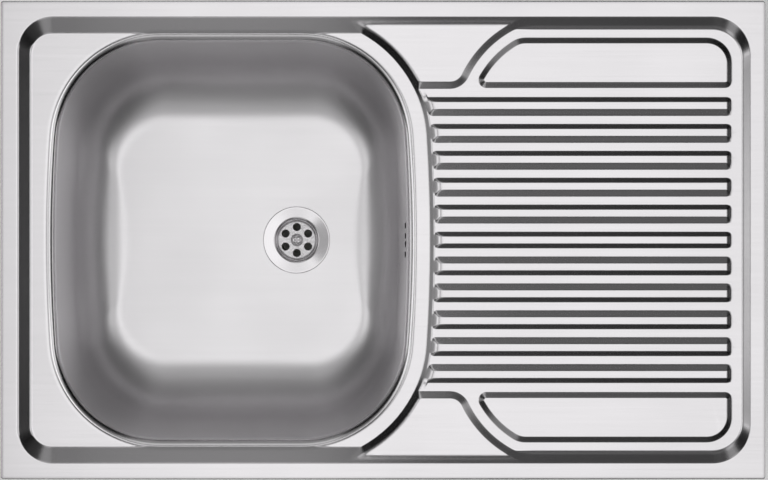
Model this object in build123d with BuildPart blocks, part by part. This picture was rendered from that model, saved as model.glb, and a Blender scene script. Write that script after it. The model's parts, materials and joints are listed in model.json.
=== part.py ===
"""Lay-on stainless kitchen sink: one bowl, a ribbed drainboard and two bare tap ledges.

Millimetres. X runs along the sink from the bowl to the drainboard, Y from front to back and Z up.
The origin is the middle of the footprint, on the plane where the folded edge rests on its cabinet.
"""

from build123d import *
from math import atan2, cos, pi, radians, sin, sqrt, tan
import os

os.makedirs("parts", exist_ok=True)

# ---------------------------------------------------------------- driving sizes
# sheet and folded edge
sink_length = 800.0
sink_width = 500.0
sheet = 0.8
edge_height = 30.0
edge_corner_radius = 2.5
edge_bend_radius = 1.6
hem_width = 12.0

# the flat rim, the sunk well inside it and the levels pressed into the well, all below the rim
rim_left = 18.0
rim_right = 16.0
rim_side = 16.2
well_radius_left = 36.0
well_radius_right = 40.0
well_run_left = 13.0
well_run_right = 11.0
well_run_side = 15.0
surround_drop = 9.5
land_drop = 7.0
ledge_drop = 4.0

# bowl mouth, its gaps to the foot of the well's walls, its rolled lip and the level strip round it
mouth_length = 385.5
mouth_end_gap = 16.45
mouth_side_gap = 1.8
mouth_radius = 115.0
mouth_bow_radius = 1700.0
surround_width = 16.0
surround_slope = 26.0
lip_radius = 8.0
bowl_flange = 8.0

# bowl, measured from the rim down to its floor
bowl_depth = 160.0
end_draft = 5.0
side_draft = 10.0
floor_corner_radius = 92.0
floor_bend_radius = 52.0

# drainboard ribs, spread between the two corner panels
rib_count = 11
rib_panel_gap = 24.4
rib_height = 3.0
rib_top_width = 7.5
rib_outer_run = 5.0
rib_inner_run = 7.0
rib_middle_run = 4.8
rib_end_gap = 12.7
rib_end_run = 5.4
rib_foot_radius = 5.0
rib_top_radius = 1.2

# raised corner panels and tap ledges, mirrored front and back about the X axis; the channel between
# them sweeps about a centre given from the mouth's end and from the foot of the well's side wall
panel_side_gap = 12.5
panel_width = 40.9
panel_run = 5.8
panel_outer_radius = 21.0
panel_inner_radius = 1.5
panel_tip_radius = 4.0
panel_shoulder_radius = 20.0
channel_offset_x = 156.05
channel_offset_y = 96.3
panel_sweep_radius = 95.0
ledge_sweep_radius = 118.0
ledge_width = 52.8
ledge_run = 7.4
ledge_corner_radius = 14.0

# waste, set off the bowl's middle: strainer, seals and plastic body
waste_offset = 62.8
seat_depth = 2.2
seat_radius = 37.6
seat_slope_run = 1.4
waste_hole_radius = 26.0
strainer_radius = 37.2
strainer_sheet = 1.0
strainer_throat_radius = 24.5
strainer_plate_radius = 21.4
strainer_cup_depth = 6.0
strainer_holes = 6
strainer_hole_radius = 4.6
strainer_hole_circle = 14.6
dimple_radius = 6.6
dimple_depth = 1.6
screw_radius = 3.0
screw_head_radius = 5.0
screw_head_height = 2.6
screw_length = 23.0
screw_recess_width = 1.5
screw_recess_depth = 1.4
insert_radius = 5.5
insert_length = 14.0
thread_clearance = 0.05
shaft_clearance = 0.25
body_seal_height = 3.0
body_flange_radius = 38.0
body_flange_height = 4.0
body_radius = 31.0
body_wall = 3.0
body_height = 50.0
body_cone_height = 8.0
tail_radius = 23.9
tail_wall = 3.4
tail_length = 32.0
hub_radius = 8.5
hub_height = 16.0
hub_drop = 12.0
spoke_count = 3
spoke_width = 3.0
spoke_height = 8.0

# overflow: slots in the bowl's end wall, hood behind them and pipe to the waste body
slot_drop = 38.0
slot_width = 6.3
slot_height = 10.0
slot_inner_y = 4.4
slot_outer_y = 15.4
gasket_thickness = 3.0
gasket_wall = 6.0
hood_width = 56.0
hood_height = 34.0
hood_depth = 32.0
hood_wall = 2.2
hood_corner_radius = 6.0
hood_ear_width = 16.0
hood_ear_thickness = 3.0
stud_radius = 2.0
stud_length = 12.0
stud_weld_gap = 0.05
stud_nut_width = 7.0
stud_nut_height = 3.2
pipe_radius = 11.0
pipe_wall = 1.8
pipe_bend_radius = 34.0
spigot_radius = 13.0
spigot_wall = 2.8
spigot_length = 18.0
union_nut_radius = 16.5
union_nut_length = 16.0
union_nut_lip = 3.0
union_ribs = 12
union_rib_radius = 1.3
washer_thickness = 3.0
body_spigot_drop = 29.0

# sound-deadening pads
pad_thickness = 2.2
bowl_pad_length = 138.0
bowl_pad_width = 230.0
bowl_pad_gap = 12.0
deck_pad_bowl_gap = 51.05
deck_pad_end_gap = 30.3
deck_pad_side_gap = 39.4
pad_corner_radius = 18.0

# fixing brackets, four of them, hooked over the folded hem; the cabinet's panel stands under the hem
cabinet_panel = 16.0
bracket_inset = 100.0
bracket_width = 34.0
bracket_sheet = 1.5
bracket_leg = 42.0
bracket_tab = 10.0
bracket_gap = 0.3
bracket_slot_length = 16.0
bracket_slot_tilt = 35.0
bracket_slot_drop = 26.0
wood_screw_radius = 2.0
wood_screw_head_radius = 4.2
wood_screw_head_height = 2.4
wood_screw_round = 1.2
wood_screw_length = 16.0
wood_screw_taper = 4.0

# ---------------------------------------------------------------- derived places
rim_z = edge_height
ledge_z = rim_z - ledge_drop
land_z = rim_z - land_drop
surround_z = rim_z - surround_drop
rib_top_z = land_z + rib_height
flange_z = surround_z - sheet
floor_z = rim_z - bowl_depth
seat_z = floor_z - seat_depth
under_seat_z = seat_z - sheet
embed = 2.0
clear_of_rim = 6.0

well_foot_left = -sink_length / 2 + rim_left + well_run_left
well_foot_right = sink_length / 2 - rim_right - well_run_right
well_foot_side = sink_width / 2 - rim_side - well_run_side
mouth_width = 2 * (well_foot_side - mouth_side_gap)
mouth_centre_x = well_foot_left + mouth_end_gap + mouth_length / 2
mouth_end_x = mouth_centre_x + mouth_length / 2
waste_x = mouth_centre_x + waste_offset
channel_centre_x = mouth_end_x + channel_offset_x
channel_centre_y = well_foot_side - channel_offset_y
ledge_near_y = well_foot_side - ledge_width
panel_far_y = well_foot_side - panel_side_gap
panel_near_y = panel_far_y - panel_width
rib_pitch = 2 * (panel_near_y - rib_panel_gap) / (rib_count - 1)
rib_end_x = well_foot_right - rib_end_gap


def skin_shift(drop, run, skin):
    """How far a bend line moves sideways on a surface that lies skin below the pressed face."""
    return skin * tan(atan2(drop, run) / 2)


# ---------------------------------------------------------------- outlines
def bowed_outline(z, length, width, radius, bow_radius):
    """Rounded outline about the bowl's centre whose two ends bow outwards."""
    half_x = length / 2
    half_y = width / 2
    corner_y = half_y - radius
    bow_x = half_x - bow_radius
    corner_x = bow_x + sqrt((bow_radius - radius) ** 2 - corner_y**2)
    join_x = bow_x + bow_radius * (corner_x - bow_x) / (bow_radius - radius)
    join_y = bow_radius * corner_y / (bow_radius - radius)
    with BuildSketch(Plane((mouth_centre_x, 0, z))) as outline:
        with BuildLine():
            Line((-corner_x, half_y), (corner_x, half_y))
            TangentArc((corner_x, half_y), (join_x, join_y), tangent=(1, 0))
            ThreePointArc((join_x, join_y), (half_x, 0), (join_x, -join_y))
            TangentArc((corner_x, -half_y), (join_x, -join_y), tangent=(1, 0))
            Line((corner_x, -half_y), (-corner_x, -half_y))
            TangentArc((-corner_x, -half_y), (-join_x, -join_y), tangent=(-1, 0))
            ThreePointArc((-join_x, -join_y), (-half_x, 0), (-join_x, join_y))
            TangentArc((-corner_x, half_y), (-join_x, join_y), tangent=(-1, 0))
        make_face()
    return outline.sketch


def mouth_outline(z, grow):
    """The bowl's mouth, grown outwards by grow."""
    return bowed_outline(
        z, mouth_length + 2 * grow, mouth_width + 2 * grow, mouth_radius + grow, mouth_bow_radius + grow
    )


def wall_outline(z, grow):
    """The bowl's drafted inner wall at height z, grown outwards by grow."""
    fall = (flange_z - z) / (flange_z - floor_z)
    lip_run = lip_radius * tan(radians(90 - side_draft) / 2)
    end_inset = lip_run + (flange_z - z) * tan(radians(end_draft))
    side_inset = lip_run + (flange_z - z) * tan(radians(side_draft))
    radius = mouth_radius - lip_run + fall * (floor_corner_radius - mouth_radius + lip_run)
    return bowed_outline(
        z,
        mouth_length - 2 * end_inset + 2 * grow,
        mouth_width - 2 * side_inset + 2 * grow,
        radius + grow,
        mouth_bow_radius + grow,
    )


def well_outline(z, run_share, grow):
    """The sunk well inside the rim: run_share 0 at the rim, 1 at the foot of its wall."""
    left = -sink_length / 2 + rim_left + run_share * well_run_left - grow
    right = sink_length / 2 - rim_right - run_share * well_run_right + grow
    half_y = sink_width / 2 - rim_side - run_share * well_run_side + grow
    with BuildSketch(Plane.XY.offset(z)) as outline:
        with Locations(((left + right) / 2, 0)):
            Rectangle(right - left, 2 * half_y)
        fillet(outline.vertices().group_by(Axis.X)[0], well_radius_left - run_share * well_run_left + grow)
        fillet(outline.vertices().group_by(Axis.X)[-1], well_radius_right - run_share * well_run_right + grow)
    return outline.sketch


def ledge_outline(z, grow, side):
    """One tap ledge; its far edge and bowl end lie beyond the walls that trim them."""
    near_y = ledge_near_y - grow
    sweep = ledge_sweep_radius - grow
    near_x = channel_centre_x - sqrt(sweep**2 - (near_y - channel_centre_y) ** 2)
    far_angle = pi - atan2(near_y - channel_centre_y, channel_centre_x - near_x)
    near_angle = pi / 2
    mid_angle = (far_angle + near_angle) / 2
    mid = (channel_centre_x + sweep * cos(mid_angle), channel_centre_y + sweep * sin(mid_angle))
    top = (channel_centre_x, channel_centre_y + sweep)
    back_x = mouth_centre_x + mouth_length / 4
    with BuildSketch(Plane.XY.offset(z)) as outline:
        with BuildLine():
            Line((back_x, near_y), (near_x, near_y))
            ThreePointArc((near_x, near_y), mid, top)
            Polyline(top, (back_x, top[1]), (back_x, near_y))
        make_face()
        corner = outline.vertices().sort_by_distance((near_x, near_y, z))[0]
        fillet(corner, ledge_corner_radius + grow)
        if side < 0:
            mirror(about=Plane.XZ, mode=Mode.REPLACE)
    return outline.sketch


def panel_outline(z, grow, side):
    """One raised corner panel, with a swept end towards the bowl."""
    near_y = panel_near_y - grow
    far_y = panel_far_y + grow
    end_x = rib_end_x + grow * rib_end_run / panel_run
    sweep = panel_sweep_radius + grow
    near_x = channel_centre_x - sqrt(sweep**2 - (near_y - channel_centre_y) ** 2)
    far_x = channel_centre_x - sqrt(sweep**2 - (far_y - channel_centre_y) ** 2)
    mid_y = (near_y + far_y) / 2
    mid_x = channel_centre_x - sqrt(sweep**2 - (mid_y - channel_centre_y) ** 2)
    with BuildSketch(Plane.XY.offset(z)) as outline:
        with BuildLine():
            Polyline((near_x, near_y), (end_x, near_y), (end_x, far_y), (far_x, far_y))
            ThreePointArc((far_x, far_y), (mid_x, mid_y), (near_x, near_y))
        make_face()
        corners = outline.vertices()
        fillet(corners.sort_by_distance((near_x, near_y, z))[0], panel_tip_radius + grow)
        fillet(outline.vertices().sort_by_distance((end_x, near_y, z))[0], panel_inner_radius + grow)
        fillet(outline.vertices().sort_by_distance((end_x, far_y, z))[0], panel_outer_radius + grow)
        fillet(outline.vertices().sort_by_distance((far_x, far_y, z))[0], panel_shoulder_radius + grow)
        if side < 0:
            mirror(about=Plane.XZ, mode=Mode.REPLACE)
    return outline.sketch


def rib_outline(z, index, run_share, shrink):
    """Rib number index from the middle: run_share 0 on its flat top, 1 at its foot."""
    out_run = rib_middle_run if index == 0 else rib_outer_run
    in_run = rib_middle_run if index == 0 else rib_inner_run
    side = -1 if index < 0 else 1
    outer = rib_top_width / 2 + run_share * out_run - shrink
    inner = rib_top_width / 2 + run_share * in_run - shrink
    centre_y = index * rib_pitch + side * (outer - inner) / 2
    end_x = rib_end_x + run_share * rib_end_run - shrink
    radius = rib_top_radius + run_share * (rib_foot_radius - rib_top_radius)
    with BuildSketch(Plane.XY.offset(z)) as outline:
        with Locations(((mouth_end_x + end_x) / 2, centre_y)):
            Rectangle(end_x - mouth_end_x, outer + inner)
        fillet(outline.vertices().group_by(Axis.X)[-1], radius)
    return outline.sketch


# ---------------------------------------------------------------- deck
def raised_form(skin):
    """Drainboard land with its ribs, panels and ledges, cut back where the bowl surround starts.

    skin 0 gives the pressed face; skin equal to the sheet gives the same form one sheet below it.
    """
    rib_shift = skin_shift(rib_height, rib_outer_run, skin)
    panel_shift = skin_shift(rib_height, panel_run, skin)
    ledge_shift = skin_shift(land_drop - ledge_drop, ledge_run, skin)
    cone_run = surround_drop / tan(radians(surround_slope))
    cone_shift = skin * tan(radians(surround_slope) / 2)
    land_start = mouth_centre_x + mouth_length / 4
    land_end = sink_length / 2 - rim_right + clear_of_rim
    half_y = sink_width / 2 - clear_of_rim
    with BuildPart() as raised:
        with BuildSketch(Plane.XY.offset(surround_z - embed - skin)):
            with Locations(((land_start + land_end) / 2, 0)):
                Rectangle(land_end - land_start, 2 * half_y)
        extrude(amount=embed + surround_drop - land_drop)
        for side in (1, -1):
            ledge_foot = ledge_outline(land_z - skin, ledge_run - ledge_shift, side)
            ledge_top = ledge_outline(ledge_z - skin, -ledge_shift, side)
            loft(sections=[ledge_foot, ledge_top], ruled=True)
            panel_foot = panel_outline(land_z - skin, panel_run - panel_shift, side)
            panel_top = panel_outline(rib_top_z - skin, -panel_shift, side)
            loft(sections=[panel_foot, panel_top], ruled=True)
        for index in range(-(rib_count // 2), rib_count // 2 + 1):
            rib_foot = rib_outline(land_z - skin, index, 1, rib_shift)
            rib_top = rib_outline(rib_top_z - skin, index, 0, rib_shift)
            loft(sections=[rib_foot, rib_top], ruled=True)
        cone_foot = mouth_outline(surround_z - skin, surround_width + cone_shift)
        cone_top = mouth_outline(rim_z - skin, surround_width + cone_run + cone_shift)
        loft(sections=[cone_foot, cone_top], ruled=True, mode=Mode.SUBTRACT)
    return raised.part


def deck_form(skin, bottom_z):
    """Solid under the pressed face, or under the face that lies skin below it."""
    well_shift = skin_shift(surround_drop, well_run_left, skin)
    with BuildPart() as form:
        with BuildSketch(Plane.XY.offset(bottom_z)):
            RectangleRounded(sink_length - 2 * skin, sink_width - 2 * skin, edge_corner_radius - skin)
        extrude(amount=rim_z - skin - bottom_z)
        fillet(form.edges().group_by(Axis.Z)[-1], edge_bend_radius - skin)
        well_top = well_outline(rim_z - skin, 0, well_shift)
        well_foot = well_outline(surround_z - skin, 1, well_shift)
        loft(sections=[well_top, well_foot], ruled=True, mode=Mode.SUBTRACT)
        add(raised_form(skin))
    return form.part


with BuildPart() as drainboard_deck:
    add(deck_form(0, 0))
    add(deck_form(sheet, -embed), mode=Mode.SUBTRACT)
    with BuildSketch(Plane.XY) as hem:
        RectangleRounded(sink_length - sheet, sink_width - sheet, edge_corner_radius)
        hem_length = sink_length - 2 * (sheet + hem_width)
        Rectangle(hem_length, sink_width - 2 * (sheet + hem_width), mode=Mode.SUBTRACT)
    extrude(amount=sheet)
    mouth_cut = extrude(mouth_outline(surround_z - embed, 0), amount=2 * embed, mode=Mode.PRIVATE)
    add(mouth_cut, mode=Mode.SUBTRACT)
drainboard_deck.part.label = "drainboard_deck"
export_step(drainboard_deck.part, "parts/drainboard_deck.step")


# ---------------------------------------------------------------- bowl
def bowl_form(skin):
    """Inside of the bowl, or the same form grown by skin, with its floor bend and waste seat."""
    with BuildPart() as form:
        grow = skin / cos(radians(side_draft))
        loft(sections=[wall_outline(flange_z, grow), wall_outline(floor_z - skin, grow)], ruled=True)
        fillet(form.edges().group_by(Axis.Z)[0], floor_bend_radius + skin)
        seat_shift = skin_shift(seat_depth, seat_slope_run, skin)
        with BuildSketch(Plane((waste_x, 0, floor_z - skin))):
            Circle(seat_radius + seat_slope_run + seat_shift)
        with BuildSketch(Plane((waste_x, 0, seat_z - skin))):
            Circle(seat_radius + seat_shift)
        loft(ruled=True)
    return form.part


def end_wall_plane(drop):
    """Plane on the outside of the bowl's drainboard end wall, drop below the rim, facing outwards."""
    lip_run = lip_radius * tan(radians(90 - side_draft) / 2)
    level = rim_z - drop
    wall_x = mouth_end_x - lip_run - (flange_z - level) * tan(radians(end_draft))
    outside_x = wall_x + sheet / cos(radians(side_draft))
    lean = radians(end_draft)
    return Plane((outside_x, 0, level), x_dir=(0, 1, 0), z_dir=(cos(lean), 0, -sin(lean)))


overflow_plane = end_wall_plane(slot_drop)
slot_places = [(-slot_outer_y, 0), (-slot_inner_y, 0), (slot_inner_y, 0), (slot_outer_y, 0)]

with BuildPart() as bowl:
    add(extrude(mouth_outline(flange_z - sheet, bowl_flange), amount=sheet, mode=Mode.PRIVATE))
    add(bowl_form(sheet))
    level_faces = bowl.faces().filter_by(Axis.Z)
    under_flange = level_faces.filter_by_position(Axis.Z, flange_z - embed, flange_z - sheet / 2)
    fillet(under_flange[0].inner_wires()[0].edges(), lip_radius - sheet)
    add(bowl_form(0), mode=Mode.SUBTRACT)
    level_faces = bowl.faces().filter_by(Axis.Z)
    on_flange = level_faces.filter_by_position(Axis.Z, flange_z - sheet / 2, flange_z + embed)
    fillet(on_flange[0].inner_wires()[0].edges(), lip_radius)
    with Locations((waste_x, 0, under_seat_z)):
        Hole(waste_hole_radius, depth=2 * seat_depth)
    with BuildSketch(overflow_plane.offset(2 * sheet)):
        with Locations(*slot_places):
            SlotOverall(slot_height, slot_width, rotation=90)
    extrude(amount=-4 * sheet, mode=Mode.SUBTRACT)
bowl.part.label = "bowl"
export_step(bowl.part, "parts/bowl.step")


# ---------------------------------------------------------------- waste
def waste_plane(z):
    """Level plane on the waste's axis."""
    return Plane((waste_x, 0, z))


def ring(z, outer_radius, inner_radius, height):
    """Flat ring on the waste's axis, from z upwards."""
    with BuildPart() as flat_ring:
        with BuildSketch(waste_plane(z)):
            Circle(outer_radius)
            Circle(inner_radius, mode=Mode.SUBTRACT)
        extrude(amount=height)
    return flat_ring.part


waste_axis = Axis((waste_x, 0, 0), (0, 0, 1))
waste_section = Plane((waste_x, 0, 0), x_dir=(1, 0, 0), z_dir=(0, -1, 0))
strainer_top_z = floor_z
plate_z = strainer_top_z - strainer_cup_depth
dimple_z = plate_z - dimple_depth
cup_run = strainer_throat_radius - strainer_plate_radius
dimple_run = dimple_radius - screw_head_radius - shaft_clearance
cup_shift = skin_shift(strainer_cup_depth, cup_run, strainer_sheet)
dimple_shift = skin_shift(dimple_depth, dimple_run, strainer_sheet)

with BuildPart() as strainer:
    with BuildSketch(waste_section):
        with BuildLine():
            Polyline(
                (0, dimple_z),
                (dimple_radius - dimple_run, dimple_z),
                (dimple_radius, plate_z),
                (strainer_plate_radius, plate_z),
                (strainer_throat_radius, strainer_top_z),
                (strainer_radius, strainer_top_z),
                (strainer_radius, strainer_top_z - strainer_sheet),
                (strainer_throat_radius + cup_shift, strainer_top_z - strainer_sheet),
                (strainer_plate_radius + cup_shift, plate_z - strainer_sheet),
                (dimple_radius + dimple_shift, plate_z - strainer_sheet),
                (dimple_radius - dimple_run + dimple_shift, dimple_z - strainer_sheet),
                (0, dimple_z - strainer_sheet),
                (0, dimple_z),
            )
        make_face()
    revolve(axis=waste_axis)
    rim_edge = strainer.edges().filter_by(GeomType.CIRCLE).filter_by_position(
        Axis.Z, strainer_top_z - strainer_sheet / 2, strainer_top_z + strainer_sheet
    )
    fillet(rim_edge.sort_by(SortBy.LENGTH)[-1], strainer_sheet / 2)
    fillet(rim_edge.sort_by(SortBy.LENGTH)[0], strainer_sheet)
    with BuildSketch(waste_plane(plate_z)):
        with PolarLocations(strainer_hole_circle, strainer_holes, start_angle=90):
            Circle(strainer_hole_radius)
    extrude(amount=-2 * strainer_sheet, mode=Mode.SUBTRACT)
    with BuildSketch(waste_plane(dimple_z)):
        Circle(screw_radius + shaft_clearance)
    extrude(amount=-2 * strainer_sheet, mode=Mode.SUBTRACT)
strainer.part.label = "strainer"
export_step(strainer.part, "parts/strainer.step")

with BuildPart() as strainer_screw:
    with BuildSketch(waste_plane(dimple_z)):
        Circle(screw_head_radius)
    extrude(amount=screw_head_height)
    fillet(strainer_screw.edges().group_by(Axis.Z)[-1], screw_head_height / 2)
    with BuildSketch(waste_plane(dimple_z + screw_head_height)):
        Rectangle(screw_head_radius, screw_recess_width)
        Rectangle(screw_recess_width, screw_head_radius)
    extrude(amount=-screw_recess_depth, mode=Mode.SUBTRACT)
    with BuildSketch(waste_plane(dimple_z)):
        Circle(screw_radius)
    extrude(amount=-screw_length)
    chamfer(strainer_screw.edges().group_by(Axis.Z)[0], screw_radius / 4)
strainer_screw.part.label = "strainer_screw"
export_step(strainer_screw.part, "parts/strainer_screw.step")

with BuildPart() as strainer_seal:
    seal_inner = waste_hole_radius + shaft_clearance
    add(ring(seat_z, strainer_radius - shaft_clearance, seal_inner, seat_depth - strainer_sheet))
strainer_seal.part.label = "strainer_seal"
export_step(strainer_seal.part, "parts/strainer_seal.step")

body_top_z = under_seat_z - body_seal_height
with BuildPart() as body_seal:
    add(ring(body_top_z, seat_radius - shaft_clearance, waste_hole_radius + shaft_clearance, body_seal_height))
body_seal.part.label = "body_seal"
export_step(body_seal.part, "parts/body_seal.step")

body_foot_z = body_top_z - body_height
tail_top_z = body_foot_z - body_cone_height
tail_end_z = tail_top_z - tail_length
hub_top_z = body_top_z - hub_drop
insert_foot_z = hub_top_z - insert_length
hub_foot_z = hub_top_z - hub_height
spigot_z = body_top_z - body_spigot_drop
spigot_end_x = waste_x + body_radius + spigot_length
pipe_bore_radius = pipe_radius - pipe_wall

with BuildPart() as waste_body:
    with BuildSketch(waste_section):
        with BuildLine():
            Polyline(
                (body_radius - body_wall, body_top_z),
                (body_flange_radius, body_top_z),
                (body_flange_radius, body_top_z - body_flange_height),
                (body_radius, body_top_z - body_flange_height),
                (body_radius, body_foot_z),
                (tail_radius, tail_top_z),
                (tail_radius, tail_end_z),
                (tail_radius - tail_wall, tail_end_z),
                (tail_radius - tail_wall, tail_top_z),
                (body_radius - body_wall, body_foot_z),
                (body_radius - body_wall, body_top_z),
            )
        make_face()
    revolve(axis=waste_axis)
    with BuildSketch(waste_plane(hub_foot_z)):
        Circle(hub_radius)
    extrude(amount=hub_height)
    with BuildSketch(waste_plane(hub_foot_z)):
        with PolarLocations(body_radius / 2, spoke_count, start_angle=180 / spoke_count):
            Rectangle(body_radius - 2 * body_wall / 3, spoke_width)
    extrude(amount=spoke_height)
    with BuildSketch(waste_plane(hub_top_z)):
        Circle(insert_radius + thread_clearance)
    extrude(amount=-insert_length, mode=Mode.SUBTRACT)
    spigot_plane = Plane((spigot_end_x, 0, spigot_z), x_dir=(0, 1, 0), z_dir=(-1, 0, 0))
    with BuildSketch(spigot_plane):
        Circle(spigot_radius)
        Circle(spigot_radius - spigot_wall, mode=Mode.SUBTRACT)
    extrude(amount=spigot_length + body_wall / 2)
    with BuildSketch(spigot_plane):
        Circle(spigot_radius - spigot_wall)
    extrude(amount=spigot_length + 2 * body_wall, mode=Mode.SUBTRACT)
waste_body.part.label = "waste_body"
export_step(waste_body.part, "parts/waste_body.step")

with BuildPart() as screw_insert:
    add(ring(insert_foot_z, insert_radius, screw_radius + thread_clearance, insert_length))
screw_insert.part.label = "screw_insert"
export_step(screw_insert.part, "parts/screw_insert.step")

# ---------------------------------------------------------------- overflow
stud_y = hood_width / 2 + hood_ear_width / 2
stud_sag = stud_y**2 / (2 * mouth_bow_radius)
with BuildPart() as overflow_gasket:
    with BuildSketch(overflow_plane.offset(stud_weld_gap)):
        RectangleRounded(hood_width, hood_height, hood_corner_radius)
        RectangleRounded(
            hood_width - 2 * gasket_wall, hood_height - 2 * gasket_wall, hood_corner_radius / 2, mode=Mode.SUBTRACT
        )
    extrude(amount=gasket_thickness)
overflow_gasket.part.label = "overflow_gasket"
export_step(overflow_gasket.part, "parts/overflow_gasket.step")

hood_plane = overflow_plane.offset(stud_weld_gap + gasket_thickness)
pipe_x = overflow_plane.origin.X + gasket_thickness + hood_depth / 2
hood_spigot_z = overflow_plane.origin.Z - hood_height / 2 - spigot_length
spigot_bore = spigot_radius - spigot_wall
with BuildPart() as overflow_hood:
    with BuildSketch(hood_plane):
        RectangleRounded(hood_width, hood_height, hood_corner_radius)
    extrude(amount=hood_depth)
    fillet(overflow_hood.faces().sort_by(Axis.X)[-1].edges(), hood_wall)
    with BuildSketch(Plane((pipe_x, 0, hood_spigot_z))):
        Circle(spigot_radius)
    extrude(amount=spigot_length + hood_wall)
    with BuildSketch(hood_plane):
        RectangleRounded(
            hood_width - 2 * hood_wall, hood_height - 2 * hood_wall, hood_corner_radius - hood_wall
        )
    extrude(amount=hood_depth - hood_wall, mode=Mode.SUBTRACT)
    with BuildSketch(Plane((pipe_x, 0, hood_spigot_z))):
        Circle(spigot_bore)
    extrude(amount=spigot_length + 2 * hood_wall, mode=Mode.SUBTRACT)
    with BuildSketch(hood_plane):
        for side in (1, -1):
            with Locations((side * (stud_y - hood_wall / 2), 0)):
                Rectangle(hood_ear_width + hood_wall, hood_height / 2)
            with Locations((side * stud_y, 0)):
                Circle(stud_radius + shaft_clearance, mode=Mode.SUBTRACT)
    extrude(amount=hood_ear_thickness)
overflow_hood.part.label = "overflow_hood"
export_step(overflow_hood.part, "parts/overflow_hood.step")

stud_places = [(stud_y, 0), (-stud_y, 0)]
with BuildPart() as overflow_studs:
    with BuildSketch(overflow_plane.offset(2 * stud_weld_gap - stud_sag)):
        with Locations(*stud_places):
            Circle(stud_radius)
    extrude(amount=stud_length)
    chamfer(overflow_studs.edges().group_by(Axis.X)[-1], stud_radius / 5)
overflow_studs.part.label = "overflow_studs"
export_step(overflow_studs.part, "parts/overflow_studs.step")

with BuildPart() as overflow_nuts:
    with BuildSketch(hood_plane.offset(hood_ear_thickness)):
        with Locations(*stud_places):
            RegularPolygon(stud_nut_width / 2, 6, major_radius=False)
            Circle(stud_radius + thread_clearance, mode=Mode.SUBTRACT)
    extrude(amount=stud_nut_height)
overflow_nuts.part.label = "overflow_nuts"
export_step(overflow_nuts.part, "parts/overflow_nuts.step")

bend_top = (pipe_x, 0, spigot_z + pipe_bend_radius)
bend_mid = (
    pipe_x - pipe_bend_radius * (1 - cos(pi / 4)),
    0,
    spigot_z + pipe_bend_radius * (1 - sin(pi / 4)),
)
bend_end = (pipe_x - pipe_bend_radius, 0, spigot_z)
with BuildPart() as overflow_pipe:
    with BuildLine() as pipe_route:
        Line((pipe_x, 0, hood_spigot_z), bend_top)
        ThreePointArc(bend_top, bend_mid, bend_end)
        Line(bend_end, (spigot_end_x, 0, spigot_z))
    with BuildSketch(Plane((pipe_x, 0, hood_spigot_z), z_dir=(0, 0, -1))):
        Circle(pipe_radius)
        Circle(pipe_bore_radius, mode=Mode.SUBTRACT)
    sweep(path=pipe_route.wires()[0])
overflow_pipe.part.label = "overflow_pipe"
export_step(overflow_pipe.part, "parts/overflow_pipe.step")


def union_washer(plane):
    """Sealing ring on the pipe, against the end of a spigot that lies in plane and faces along it."""
    with BuildPart() as washer:
        with BuildSketch(plane):
            Circle(spigot_radius)
            Circle(pipe_radius + thread_clearance, mode=Mode.SUBTRACT)
        extrude(amount=washer_thickness)
    return washer.part


def union_nut(plane):
    """Ribbed union nut that draws the washer against the spigot's end."""
    with BuildPart() as nut:
        with BuildSketch(plane.offset(washer_thickness + union_nut_lip - union_nut_length)):
            Circle(union_nut_radius)
            with PolarLocations(union_nut_radius, union_ribs):
                Circle(union_rib_radius)
        extrude(amount=union_nut_length)
        with BuildSketch(plane.offset(washer_thickness)):
            Circle(spigot_radius + thread_clearance)
        extrude(amount=-union_nut_length, mode=Mode.SUBTRACT)
        with BuildSketch(plane.offset(washer_thickness)):
            Circle(pipe_radius + shaft_clearance)
        extrude(amount=union_nut_length, mode=Mode.SUBTRACT)
    return nut.part


hood_union_plane = Plane((pipe_x, 0, hood_spigot_z), x_dir=(1, 0, 0), z_dir=(0, 0, -1))
body_union_plane = Plane((spigot_end_x, 0, spigot_z), x_dir=(0, 1, 0), z_dir=(1, 0, 0))

with BuildPart() as hood_union_washer:
    add(union_washer(hood_union_plane))
hood_union_washer.part.label = "hood_union_washer"
export_step(hood_union_washer.part, "parts/hood_union_washer.step")

with BuildPart() as hood_union_nut:
    add(union_nut(hood_union_plane))
hood_union_nut.part.label = "hood_union_nut"
export_step(hood_union_nut.part, "parts/hood_union_nut.step")

with BuildPart() as body_union_washer:
    add(union_washer(body_union_plane))
body_union_washer.part.label = "body_union_washer"
export_step(body_union_washer.part, "parts/body_union_washer.step")

with BuildPart() as body_union_nut:
    add(union_nut(body_union_plane))
body_union_nut.part.label = "body_union_nut"
export_step(body_union_nut.part, "parts/body_union_nut.step")

# ---------------------------------------------------------------- pads
bowl_pad_x = waste_x - seat_radius - seat_slope_run - bowl_pad_gap - bowl_pad_length / 2
with BuildPart() as bowl_pad:
    with BuildSketch(Plane((bowl_pad_x, 0, floor_z - sheet))):
        RectangleRounded(bowl_pad_length, bowl_pad_width, pad_corner_radius)
    extrude(amount=-pad_thickness)
bowl_pad.part.label = "bowl_pad"
export_step(bowl_pad.part, "parts/bowl_pad.step")

deck_pad_start = mouth_end_x + surround_width + deck_pad_bowl_gap
deck_pad_end = rib_end_x - deck_pad_end_gap
deck_pad_width = 2 * (panel_near_y - deck_pad_side_gap)
with BuildPart() as drainboard_pad:
    with BuildSketch(Plane(((deck_pad_start + deck_pad_end) / 2, 0, land_z - sheet))):
        RectangleRounded(deck_pad_end - deck_pad_start, deck_pad_width, pad_corner_radius)
    extrude(amount=-pad_thickness)
drainboard_pad.part.label = "drainboard_pad"
export_step(drainboard_pad.part, "parts/drainboard_pad.step")

# ---------------------------------------------------------------- fixing brackets
panel_inner_y = sink_width / 2 - sheet - cabinet_panel
leg_outer_y = panel_inner_y - bracket_gap
hem_inner_y = sink_width / 2 - sheet - hem_width
screw_z = sheet + bracket_sheet - bracket_slot_drop


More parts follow.
